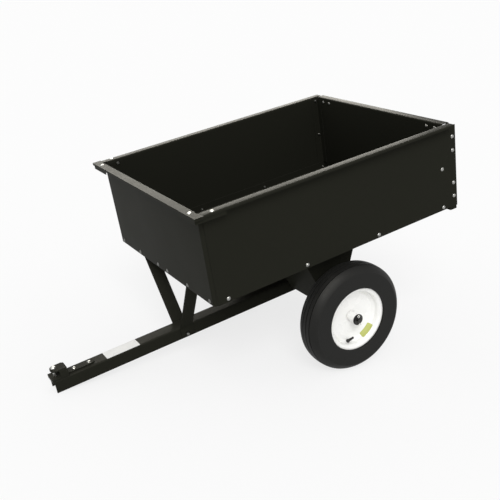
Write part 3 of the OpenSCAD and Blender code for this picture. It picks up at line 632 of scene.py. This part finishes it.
def prism(outline, axis, low, high):
    """A solid that runs an outline along an axis; the outline holds the other two axes in order."""
    mesh = bmesh.new()
    ends = []
    for reach in (low, high):
        ring = []
        for u, v in outline:
            spot = {"x": (reach, u, v), "y": (u, reach, v), "z": (u, v, reach)}[axis]
            ring.append(mesh.verts.new(spot))
        ends.append(ring)
    first, last = ends
    mesh.faces.new(first)
    mesh.faces.new(last[::-1])
    for k in range(len(first)):
        n = (k + 1) % len(first)
        mesh.faces.new((first[n], first[k], last[k], last[n]))
    bmesh.ops.recalc_face_normals(mesh, faces=mesh.faces)
    return settled(mesh, "solid")


def block(low, high):
    """A solid between two corners."""
    flat = [(low[0], low[2]), (high[0], low[2]), (high[0], high[2]), (low[0], high[2])]
    return prism(flat, "y", low[1], high[1])


def rod(middle, radius, axis, low, high):
    """A round solid along an axis."""
    last = ROUND_SIDES - 1
    return prism(arc(middle, radius, 0, math.tau * last / ROUND_SIDES, last), axis, low, high)


def hole(middle, radius, axis, low, high):
    """A round cutter that runs past both faces of what it cuts."""
    return rod(middle, radius, axis, low - PAST, high + PAST)


def formed_solid(base, cuts, joins=()):
    """A solid with others joined to it, and then others cut away."""
    made = [put_in_scene("solid", base)]
    for operation, solids in (("UNION", joins), ("DIFFERENCE", cuts)):
        for solid in solids:
            tool = put_in_scene("tool", solid)
            made.append(tool)
            step = made[0].modifiers.new("step", "BOOLEAN")
            step.operation = operation
            step.solver = "EXACT"
            step.object = tool
    bpy.context.view_layer.update()
    whole = made[0].evaluated_get(bpy.context.evaluated_depsgraph_get())
    data = bpy.data.meshes.new_from_object(whole)
    for thing in made:
        bpy.data.objects.remove(thing)
    return data


def turned(profile, x):
    """A solid turned round an upright axis at x, from radii and heights, closed at both ends."""
    mesh = bmesh.new()
    rings = []
    angles = [math.tau * i / ROUND_SIDES for i in range(ROUND_SIDES)]
    for radius, z in profile:
        rings.append([mesh.verts.new((x + radius * math.cos(a), radius * math.sin(a), z)) for a in angles])
    for first, last in zip(rings, rings[1:]):
        for k in range(ROUND_SIDES):
            n = (k + 1) % ROUND_SIDES
            mesh.faces.new((first[k], first[n], last[n], last[k]))
    mesh.faces.new(rings[0][::-1])
    mesh.faces.new(rings[-1])
    return settled(mesh, "solid")


def formed(name, parts, body, node, material, cuts=(), mirrored=False):
    """One piece from solids joined together and others cut away; it stands for a CAD node."""
    data = formed_solid(parts[0], cuts, parts[1:])
    piece = put_in_scene(name, data)
    mesh = bmesh.new()
    mesh.from_mesh(data)
    bmesh.ops.remove_doubles(mesh, verts=mesh.verts, dist=MERGE)
    turn = square_to_bed()
    if mirrored:
        turn = turn @ Matrix.Scale(-1, 4, (0, 1, 0))
    mesh.transform(turn)
    # A mirror image winds its faces inwards, which shows only once the normals are taken anew
    mesh.normal_update()
    bmesh.ops.recalc_face_normals(mesh, faces=mesh.faces)
    for face in mesh.faces:
        face.smooth = True
    for edge in mesh.edges:
        edge.smooth = len(edge.link_faces) == 2 and edge.calc_face_angle() < CREASE
    mesh.to_mesh(data)
    mesh.free()
    data.name = name
    data.materials.clear()
    data.materials.append(material)
    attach(piece, body)
    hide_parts(node)
    return piece


def both(kind, body, material, parts, cuts):
    """A formed piece on the right and its mirror image on the left."""
    for side in SIDES:
        formed(f"{side}_{kind}_steel", [p.copy() for p in parts], body, f"{side}_{kind}", material,
               cuts=[c.copy() for c in cuts], mirrored=side == "left")


def bolt_holes(node, axis, radius, low, high):
    """Cutters for the right-hand or middle bolts of a node, one for each solid, along an axis."""
    to_bed = square_to_bed().inverted()
    data = frame["nodes"][node].data
    mesh = bmesh.new()
    mesh.from_mesh(data)
    bmesh.ops.remove_doubles(mesh, verts=mesh.verts, dist=MERGE)
    met = set()
    holes = []
    # In the order of the vertices, so that each run cuts the holes in the same order
    for first in mesh.verts:
        if first in met:
            continue
        met.add(first)
        island = [first]
        for vert in island:
            near = {edge.other_vert(vert) for edge in vert.link_edges} - met
            met |= near
            island += near
        spots = [to_bed @ v.co for v in island]
        middle = [(min(p[k] for p in spots) + max(p[k] for p in spots)) / 2 for k in range(3)]
        if middle[1] > -PAST:
            flat = [middle[k] for k in range(3) if k != "xyz".index(axis)]
            holes.append(hole(flat, radius, axis, low, high))
    mesh.free()
    return holes


def surface_of(node):
    """A tree of a CAD node's faces, for dropping points on it."""
    mesh = frame["nodes"][node].data
    corners = [v.co.copy() for v in mesh.vertices]
    return BVHTree.FromPolygons(corners, [p.vertices[:] for p in mesh.polygons])


def drop_on(surface, start, direction, off):
    """Where a ray meets the surface, raised off it by a film's share."""
    point, normal, _, _ = surface.ray_cast(start, direction)
    if point is None:
        raise RuntimeError("a plate's ray misses the piece that carries it")
    if normal.dot(direction) > 0:
        normal = -normal
    return point + normal * off


def rounded_rows(wide, long, corner, across, along):
    """Rows of shares across and along a plate, drawn in at its ends to round the corners."""
    reach = corner / long
    ends = [reach * part for part in CORNER_ROWS]
    middle = [reach + (1 - 2 * reach) * i / along for i in range(along + 1)]
    rows = []
    for v in ends + middle + [1 - end for end in reversed(ends)]:
        inside = max(0.0, 1 - min(v, 1 - v) / reach)
        half = 0.5 - corner / wide * (1 - math.sqrt(1 - inside * inside))
        rows.append([(0.5 + half * (2 * j / across - 1), v) for j in range(across + 1)])
    return rows


def film_piece(name, place, rows, film, material, body):
    """A thin plate from its rows; place(u, v, off) puts a point on what carries it."""
    mesh = bmesh.new()
    layers = []
    lift = film / 10
    for off in (lift, lift + film):
        layers.append([[mesh.verts.new(place(u, v, off)) for u, v in row] for row in rows])
    low, high = layers
    along, across = len(rows) - 1, len(rows[0]) - 1
    for i in range(along):
        for j in range(across):
            mesh.faces.new((high[i][j], high[i][j + 1], high[i + 1][j + 1], high[i + 1][j]))
            mesh.faces.new((low[i][j], low[i + 1][j], low[i + 1][j + 1], low[i][j + 1]))
    rim_low, rim_high = [], []
    for grid, rim in ((low, rim_low), (high, rim_high)):
        rim += grid[0][:-1]
        rim += [row[-1] for row in grid[:-1]]
        rim += grid[-1][:0:-1]
        rim += [row[0] for row in grid[:0:-1]]
    for k in range(len(rim_low)):
        n = (k + 1) % len(rim_low)
        mesh.faces.new((rim_low[k], rim_low[n], rim_high[n], rim_high[k]))
    bmesh.ops.recalc_face_normals(mesh, faces=mesh.faces)
    data = settled(mesh, name)
    data.materials.append(material)
    piece = put_in_scene(name, data)
    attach(piece, body)
    return piece


# Operators

class CART_OT_effects(bpy.types.Operator):
    """Builds the shared surface effects"""

    bl_idname = "cart.effects"
    bl_label = "Surface effects"

    def execute(self, context):
        build_peel()
        build_mottle()
        build_dust()
        # Painted shade for the corners of the white rims
        build_rubbed()
        build_painted_crevice_shade()
        return {"FINISHED"}


class CART_OT_bed(bpy.types.Operator):
    """Enamels the bed, its tracks, brackets and brace straps"""

    bl_idname = "cart.bed"
    bl_label = "Bed"

    def execute(self, context):
        dress(BED_STEEL, bed_enamel(context))
        # The parts below the bed take a duller copy of the enamel as painted shade
        dress(UNDER_STEEL, under_enamel(context))
        return {"FINISHED"}


class CART_OT_tailgate(bpy.types.Operator):
    """Enamels the sliding tailgate"""

    bl_idname = "cart.tailgate"
    bl_label = "Tailgate"

    def execute(self, context):
        dress(TAILGATE_STEEL, bed_enamel(context))
        return {"FINISHED"}


class CART_OT_sides(bpy.types.Operator):
    """Forms the side panels with their rims and fins, and the rear tracks inside the fins"""

    bl_idname = "cart.sides"
    bl_label = "Side panels"

    def execute(self, context):
        steel = context.scene.cart_steel
        enamel = bed_enamel(context)
        low, high = bed_box("right_side")
        gate_back = bed_box("tailgate_panel")[1].x
        wall, top, out = low.y, high.z, low.y + steel.side_rim
        start, rim_end = low.x + steel.corner, gate_back - steel.sheet / 2
        lip = top - steel.rim_lip
        profile = [(wall, low.z), (wall, top), (out, top), (out, lip)]
        nose = [(wall + steel.bend, top), (out, top), (out, lip)]
        fin_top = top - steel.fin_drop
        parts = [
            prism(bent(profile, steel.sheet, steel.bend), "x", start, rim_end),
            prism(bent(nose, steel.sheet, steel.bend), "x", low.x, start + OVERLAP),
            block((rim_end - OVERLAP, wall, low.z), (high.x, wall + steel.sheet, fin_top)),
        ]
        through = (wall, wall + steel.sheet)
        cuts = bolt_holes("side_bolts", "y", steel.bolt_hole, *through)
        cuts += bolt_holes("track_bolts", "y", steel.bolt_hole, *through)
        both("side", "bed", enamel, parts, cuts)
        low, high = bed_box("right_rear_track")
        angle = [(low.x, low.y), (low.x, high.y), (high.x, high.y)]
        track = [prism(bent(angle, steel.sheet, steel.bend), "z", low.z, fin_top - steel.sheet)]
        cuts = bolt_holes("track_bolts", "y", steel.bolt_hole, wall - steel.sheet, wall)
        both("rear_track", "bed", enamel, track, cuts)
        return {"FINISHED"}


class CART_OT_gate(bpy.types.Operator):
    """Forms the tailgate panel with its top rim and lip"""

    bl_idname = "cart.gate"
    bl_label = "Tailgate panel"

    def execute(self, context):
        steel = context.scene.cart_steel
        enamel = bed_enamel(context)
        low, high = bed_box("tailgate_panel")
        rear = low.x + steel.gate_rim
        profile = [(high.x, low.z), (low.x, low.z), (low.x, high.z), (rear, high.z),
                   (rear, high.z - steel.rim_lip)]
        parts = [prism(bent(profile, steel.sheet, steel.bend), "y", low.y, high.y)]
        for near, far in ((low.y, low.y + steel.sheet), (high.y - steel.sheet, high.y)):
            parts.append(block((low.x, near, low.z + steel.bend), (high.x, far, high.z - steel.bend)))
        formed("tailgate_panel_steel", parts, "tailgate", "tailgate_panel", enamel)
        return {"FINISHED"}


class CART_OT_gussets(bpy.types.Operator):
    """Forms the corner gussets under the rim, with their skirts"""

    bl_idname = "cart.gussets"
    bl_label = "Corner gussets"

    def execute(self, context):
        steel = context.scene.cart_steel
        enamel = bed_enamel(context)
        low, high = bed_box("right_rim_gusset")
        wall = bed_box("right_side")[0].y
        front = bed_box("floor_pan")[0].x
        inset = steel.sheet + steel.gusset_gap
        out = wall + steel.side_rim - inset
        ahead, clear = front - steel.sheet - steel.bend, wall + steel.sheet + steel.bend
        skirt = high.z + steel.sheet - steel.gusset_skirt
        leg, thick = steel.gusset_leg, steel.gusset_steel
        parts = [
            block((low.x, out - leg, low.z), (ahead, out, high.z)),
            block((low.x, clear, low.z), (low.x + leg, out, high.z)),
            block((low.x, out - leg, skirt), (low.x + thick, out, high.z)),
            block((low.x, out - thick, skirt), (low.x + leg, out, high.z)),
        ]
        cuts = bolt_holes("rim_bolts", "z", steel.bolt_hole, low.z, high.z)
        both("rim_gusset", "bed", enamel, parts, cuts)
        return {"FINISHED"}


class CART_OT_troughs(bpy.types.Operator):
    """Forms the axle brackets as troughs whose slanting walls run in to the tongue"""

    bl_idname = "cart.troughs"
    bl_label = "Axle brackets"

    def outline(self, steel, top, inset):
        """The trough's outline, drawn in from its edges."""
        foot = steel.trough_foot - inset
        reach = math.hypot(steel.trough_half, top)
        turn = math.atan2(top, steel.trough_half) - math.acos(steel.trough_foot / reach)
        half = steel.trough_half - inset / math.cos(turn)
        return [(-half, top), *arc((0, 0), foot, math.pi - turn, math.tau + turn, ARC_STEPS), (half, top)]

    def execute(self, context):
        steel = context.scene.cart_steel
        # A duller enamel, as painted shade below the bed
        enamel = under_enamel(context)
        low, high = bed_box("right_axle_bracket")
        web = high.y - steel.boss
        inside = web - steel.trough_steel
        end = bed_box("tongue")[1].y + steel.trough_gap
        axle = bed_box("axle")[1].z
        half, top = steel.trough_half, high.z
        hollow = self.outline(steel, top, steel.trough_steel)
        hollow[0] = (hollow[0][0], top + PAST)
        hollow[-1] = (hollow[-1][0], top + PAST)
        trough = formed_solid(prism(self.outline(steel, top, 0), "y", end, web),
                              [prism(hollow, "y", end - PAST, inside)])
        parts = [
            trough,
            block((-half, web - steel.trough_flange, top - steel.trough_steel), (half, web, top)),
            rod((0, 0), axle + steel.boss_wall, "y", web - PAST / 2, high.y),
        ]
        cuts = [hole((0, 0), axle + steel.axle_room, "y", inside, high.y)]
        cuts += bolt_holes("bracket_bolts", "z", steel.bolt_hole, top - steel.trough_steel, top)
        both("axle_bracket", "bed", enamel, parts, cuts)
        return {"FINISHED"}


class CART_OT_braces(bpy.types.Operator):
    """Forms the leaning brace straps, whose slotted toes drop over the release pin"""

    bl_idname = "cart.braces"
    bl_label = "Brace straps"

    def execute(self, context):
        steel = context.scene.cart_steel
        # A duller enamel, as painted shade below the bed
        enamel = under_enamel(context)
        low, high = bed_box("right_brace")
        pin_low, pin_high = bed_box("release_pin")
        pin = (pin_low.z + pin_high.z) / 2
        middle = (low.x + high.x) / 2
        room = steel.release_radius + steel.pin_room
        lean = high.y - steel.brace_tab
        path = [(low.y, pin - steel.brace_toe), (low.y, steel.brace_bend), (lean, high.z), (high.y, high.z)]
        parts = [prism(bent(path, steel.brace_steel), "x", low.x, high.x)]
        near, far = low.y, low.y + steel.brace_steel
        cuts = [
            hole((middle, pin), room, "y", near, far),
            block((middle - room, near - PAST, pin - steel.brace_toe * 2), (middle + room, far + PAST, pin)),
        ]
        cuts += bolt_holes("brace_bolts", "z", steel.bolt_hole, high.z - steel.brace_steel, high.z)
        both("brace", "bed", enamel, parts, cuts)
        return {"FINISHED"}


class CART_OT_hitch(bpy.types.Operator):
    """Forms the hitch plate: lower jaw with its lip and strap, and a hood with a round upper jaw"""

    bl_idname = "cart.hitch"
    bl_label = "Hitch plate"

    def execute(self, context):
        steel = context.scene.cart_steel
        enamel = bed_enamel(context)
        low, high = bed_box("hitch_bracket")
        tongue_low, tongue_high = bed_box("tongue")
        pin_low, pin_high = bed_box("hitch_pin")
        pin = (pin_low.x + pin_high.x) / 2
        thick, top, half = steel.jaw_plate, tongue_high.z, tongue_high.y
        nose = tongue_low.x - steel.hitch_nose
        front = tongue_low.x + steel.jaw_setback
        back = front + steel.jaw_length
        jaw, strap = steel.jaw_width / 2, steel.strap_width / 2
        bow = jaw + steel.jaw_bow
        spread = math.asin(jaw / bow)
        bow_front = arc((front + bow, 0), bow, math.pi - spread, math.pi + spread, ARC_STEPS)
        jaw_flat = [*bow_front, (back - steel.jaw_bend, -jaw), (back - steel.jaw_bend, jaw)]
        end = high.x - strap
        strap_end = arc((end, 0), strap, -math.pi / 2, math.pi / 2, ARC_STEPS)
        strap_flat = [(back - PAST, -strap), *strap_end, (back - PAST, strap)]
        rise = [(back - steel.jaw_bend - PAST, high.z), (back, high.z), (back, top)]
        lower = [(nose, top + thick - steel.hitch_lip), (nose, top + thick), (back, top + thick)]
        foot, base = half - steel.hood_inset, top + thick
        hood = [(-foot, base), (-jaw, high.z), (jaw, high.z), (foot, base)]
        parts = [
            prism(bent(lower, thick), "y", -half, half),
            prism(bent(hood, steel.hood_steel, steel.jaw_bend), "x", pin + steel.hood_setback, back),
            prism(strap_flat, "z", top, top + thick),
            prism(bent(rise, thick, steel.jaw_bend), "y", -jaw, jaw),
            prism(jaw_flat, "z", high.z - thick, high.z),
        ]
        bore = steel.pin_radius + steel.jaw_room
        cuts = [hole((pin, 0), bore, "z", face, face + thick) for face in (high.z - thick, top)]
        cuts += bolt_holes("hitch_bolts", "z", steel.bolt_hole, top, top + thick)
        formed("hitch_plate_steel", parts, "chassis", "hitch_bracket", enamel, cuts)
        return {"FINISHED"}


class CART_OT_chassis(bpy.types.Operator):
    """Enamels the tongue and its hitch"""

    bl_idname = "cart.chassis"
    bl_label = "Tongue and hitch"

    def execute(self, context):
        dress(CHASSIS_STEEL, bed_enamel(context))
        return {"FINISHED"}


class CART_OT_bolts(bpy.types.Operator):
    """Plates the bolts and nuts"""

    bl_idname = "cart.bolts"
    bl_label = "Bolts"

    def execute(self, context):
        dress(BRIGHT_BOLTS, plating(context, "bright_zinc"))
        # Painted shade: the side and track bolts take a darker zinc
        dress(SHADED_SIDE_BOLTS, plating(context, "satin_zinc"))
        # Painted shade: the lower bolts take a still darker zinc
        dress(SHADED_LOWER_BOLTS, plating(context, "grey_zinc"))
        return {"FINISHED"}


class CART_OT_axle(bpy.types.Operator):
    """Oils the axle, its spacers and washers"""

    bl_idname = "cart.axle"
    bl_label = "Axle"

    def execute(self, context):
        dress(AXLE_STEEL, plating(context, "oiled_steel"))
        return {"FINISHED"}


class CART_OT_pins(bpy.types.Operator):
    """Plates the hitch pin, the split pins, the release pin and its ring"""

    bl_idname = "cart.pins"
    bl_label = "Pins"

    def execute(self, context):
        dress(BRIGHT_PINS, plating(context, "bright_zinc"))
        # Painted shade: the release pin and its ring below the bed take a darker zinc
        dress(SHADED_LOWER_PINS, plating(context, "grey_zinc"))
        return {"FINISHED"}


class CART_OT_hitch_pin(bpy.types.Operator):
    """Turns the drop pin with its small round head"""

    bl_idname = "cart.hitch_pin"
    bl_label = "Hitch pin"

    def execute(self, context):
        steel = context.scene.cart_steel
        low, high = bed_box("hitch_pin")
        hood = bed_box("hitch_bracket")[1].z
        radius, head, collar = steel.pin_radius, steel.pin_head, steel.pin_collar
        seat_share, flat_share, crown_share, crown_steps = 0.92, 0.25, 0.75, 8
        profile = [
            (steel.pin_point, low.z), (radius, low.z + steel.pin_taper), (radius, hood),
            (head * seat_share, hood), (head, hood + steel.pin_chamfer), (head, hood + collar),
        ]
        for i in range(1, crown_steps + 1):
            turn = math.acos(flat_share) * i / crown_steps
            height = head * crown_share * math.sin(turn)
            profile.append((head * math.cos(turn), hood + collar + height))
        pin = turned(profile, (low.x + high.x) / 2)
        zinc = plating(context, "bright_zinc")
        formed("hitch_pin_turned", [pin], "hitch_pin", "hitch_pin", zinc)
        return {"FINISHED"}


class CART_OT_wheels(bpy.types.Operator):
    """Finishes the tyres, rims, bushes and valves"""

    bl_idname = "cart.wheels"
    bl_label = "Wheels"

    def execute(self, context):
        wheel = context.scene.cart_wheel
        dress([f"{s}_tyre" for s in SIDES], tyre_rubber(wheel))
        dress([f"{s}_rim" for s in SIDES], white_enamel(wheel))
        dress([f"{s}_bushes" for s in SIDES], moulded_black("bush_nylon", wheel.nylon, roughness=0.45))
        dress([f"{s}_valve" for s in SIDES], moulded_black("valve_rubber", wheel.rubber, roughness=0.60))
        return {"FINISHED"}


class CART_OT_label(bpy.types.Operator):
    """Lays a bare white label on top of the tongue"""

    bl_idname = "cart.label"
    bl_label = "Tongue label"

    def execute(self, context):
        plates = context.scene.cart_plates
        to_part = square_to_bed()
        down = -to_part.col[2].xyz
        surface = surface_of("tongue")
        ray_height = 0.1
        across, along = 14, 12

        def place(u, v, off):
            """A point of the label, dropped on the tongue."""
            flat = Vector((
                (v - 0.5) * plates.label_length - plates.label_middle,
                (u - 0.5) * plates.label_width,
                ray_height,
            ))
            return drop_on(surface, to_part @ flat, down, off)

        film = plain_film("label_film", plates.label_colour)
        rows = rounded_rows(plates.label_width, plates.label_length, plates.corner, across, along)
        film_piece("tongue_label", place, rows, plates.film, film, "chassis")
        return {"FINISHED"}


class CART_OT_sticker(bpy.types.Operator):
    """Lays a bare yellow-green sticker inside the left rim"""

    bl_idname = "cart.sticker"
    bl_label = "Rim sticker"

    def execute(self, context):
        plates = context.scene.cart_plates
        to_part = square_to_bed()
        low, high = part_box("left_rim")
        middle_y = (low.y + high.y) / 2
        surface = surface_of("left_rim")
        ray_start = 0.04
        # Share of the rim's diameter at which the sticker lies
        dish_share = 0.81
        across, along = 6, 14
        half_turn = plates.sticker_length / ((high.z - low.z) * dish_share)
        inner, outer = plates.sticker_inner, plates.sticker_outer

        def place(u, v, off):
            """A point of the sticker, thrown outwards on the rim."""
            angle = plates.sticker_angle + (v - 0.5) * 2 * half_turn
            outwards = Vector((math.cos(angle), 0, -math.sin(angle)))
            y = middle_y - (inner + u * (outer - inner))
            start = to_part @ Vector((0, 0, 0)) + to_part.to_3x3() @ (outwards * ray_start)
            start.y = y
            return drop_on(surface, start, to_part.to_3x3() @ outwards, off)

        film = plain_film("sticker_film", plates.sticker_colour)
        rows = rounded_rows(outer - inner, plates.sticker_length, plates.corner, across, along)
        film_piece("rim_sticker", place, rows, plates.film, film, "left_wheel")
        return {"FINISHED"}


class CART_OT_stage(bpy.types.Operator):
    """Sets the floor, the light and the camera"""

    bl_idname = "cart.stage"
    bl_label = "Stage"

    def execute(self, context):
        stage = context.scene.cart_stage
        self.floor(stage)
        self.sky(context, stage)
        self.lamps(stage)
        self.camera(context, stage)
        context.scene.view_settings.view_transform = "Standard"
        return {"FINISHED"}

    def floor(self, stage):
        """A wide matt floor that keeps the shadow and is seen partly as plain white."""
        half = stage.floor_half
        mesh = bmesh.new()
        corners = ((-half, -half, 0), (half, -half, 0), (half, half, 0), (-half, half, 0))
        mesh.faces.new([mesh.verts.new(corner) for corner in corners])
        data = settled(mesh, "floor")
        material, tree, shader = new_material("floor_white")
        set_inputs(shader, Base_Color=(*stage.floor_colour, 1), Roughness=0.9, Specular_IOR_Level=0.0)
        plain = set_inputs(add(tree, "ShaderNodeEmission"), Color=(1, 1, 1, 1), Strength=1.0)
        seen = math_node(tree, "MULTIPLY", seen_directly(tree), stage.floor_lift)
        self.blend(tree, seen, shader.outputs["BSDF"], plain.outputs["Emission"],
                   tree.nodes["Material Output"])
        data.materials.append(material)
        floor = put_in_scene("floor", data)

    def sky(self, context, stage):
        """Even white surroundings, plain white where they are seen."""
        world = bpy.data.worlds.new("studio")
        world.use_nodes = True
        tree = world.node_tree
        lighting = set_inputs(tree.nodes["Background"], Color=(1, 1, 1, 1), Strength=stage.sky_strength)
        plain = set_inputs(add(tree, "ShaderNodeBackground"), Color=(1, 1, 1, 1), Strength=1.0)
        self.blend(tree, seen_directly(tree), lighting.outputs["Background"], plain.outputs["Background"],
                   tree.nodes["World Output"])
        context.scene.world = world

    def blend(self, tree, share, first, second, output):
        """Sends a mix of two shaders to the tree's output."""
        mix = add(tree, "ShaderNodeMixShader")
        tree.links.new(share, mix.inputs[0])
        tree.links.new(first, mix.inputs[1])
        tree.links.new(second, mix.inputs[2])
        tree.links.new(mix.outputs["Shader"], output.inputs["Surface"])

    def lamps(self, stage):
        """A broad key light, and a panel behind the cart and one before the wheel."""
        key = bpy.data.lights.new("key_light", "SUN")
        key.energy = stage.sun_strength
        key.angle = stage.sun_spread
        self.hang(key, Vector(stage.sun_from), Vector())
        for name in ("rear_panel", "wheel_panel"):
            self.panel(stage, name)

    def panel(self, stage, name):
        """A rectangular lamp turned to the cart, which shows as a reflection in gloss alone."""
        data = bpy.data.lights.new(name, "AREA")
        data.shape = "RECTANGLE"
        data.size, data.size_y = getattr(stage, f"{name}_size")
        data.energy = getattr(stage, f"{name}_power")
        data.color = stage.panel_colour
        lamp = self.hang(data, Vector(getattr(stage, name)), Vector(stage.panel_aim))
        lamp.visible_diffuse = False

    def hang(self, data, place, aim):
        """Links a lamp at a place, turned to an aim, and hides it from the camera."""
        lamp = put_in_scene(data.name, data)
        lamp.location = place
        lamp.rotation_mode = "QUATERNION"
        lamp.rotation_quaternion = (aim - place).to_track_quat("-Z", "Y")
        lamp.visible_camera = False
        return lamp

    def camera(self, context, stage):
        """The camera at the photograph's viewing angle."""
        data = bpy.data.cameras.new("camera")
        data.sensor_width = stage.sensor
        data.lens = stage.lens
        camera = put_in_scene("camera", data)
        camera.location = stage.eye
        camera.rotation_mode = "QUATERNION"
        camera.rotation_quaternion = (Vector(stage.aim) - Vector(stage.eye)).to_track_quat("-Z", "Y")
        context.scene.camera = camera


class CART_PT_panel(bpy.types.Panel):
    """Lists the cart's pieces"""

    bl_idname = "CART_PT_panel"
    bl_label = "Tipping dump cart"
    bl_space_type = "VIEW_3D"
    bl_region_type = "UI"
    bl_category = "Cart"

    def draw(self, context):
        for operator in OPERATORS:
            self.layout.operator(operator.bl_idname)


GROUPS = {
    "cart_paint": CartPaint,
    "cart_steel": CartSteel,
    "cart_metal": CartMetal,
    "cart_wheel": CartWheel,
    "cart_plates": CartPlates,
    "cart_stage": CartStage,
}
OPERATORS = (
    CART_OT_effects,
    CART_OT_bed,
    CART_OT_tailgate,
    CART_OT_sides,
    CART_OT_gate,
    CART_OT_gussets,
    CART_OT_troughs,
    CART_OT_braces,
    CART_OT_hitch,
    CART_OT_chassis,
    CART_OT_bolts,
    CART_OT_axle,
    CART_OT_pins,
    CART_OT_hitch_pin,
    CART_OT_wheels,
    CART_OT_label,
    CART_OT_sticker,
    CART_OT_stage,
)
CLASSES = (*GROUPS.values(), *OPERATORS, CART_PT_panel)


def register():
    """Registers the classes and hangs the settings on the scene."""
    for made in CLASSES:
        bpy.utils.register_class(made)
    for name, group in GROUPS.items():
        setattr(bpy.types.Scene, name, PointerProperty(type=group))


def unregister():
    """Takes the settings and the classes away again."""
    for name in GROUPS:
        delattr(bpy.types.Scene, name)
    for made in reversed(CLASSES):
        bpy.utils.unregister_class(made)


def main():
    """Makes every piece in order."""
    register()
    bpy.ops.cart.effects()
    bpy.ops.cart.bed()
    bpy.ops.cart.tailgate()
    bpy.ops.cart.sides()
    bpy.ops.cart.gate()
    bpy.ops.cart.gussets()
    bpy.ops.cart.troughs()
    bpy.ops.cart.braces()
    bpy.ops.cart.hitch()
    bpy.ops.cart.chassis()
    bpy.ops.cart.bolts()
    bpy.ops.cart.axle()
    bpy.ops.cart.pins()
    bpy.ops.cart.hitch_pin()
    bpy.ops.cart.wheels()
    bpy.ops.cart.label()
    bpy.ops.cart.sticker()
    bpy.ops.cart.stage()


if __name__ == "__main__":
    main()
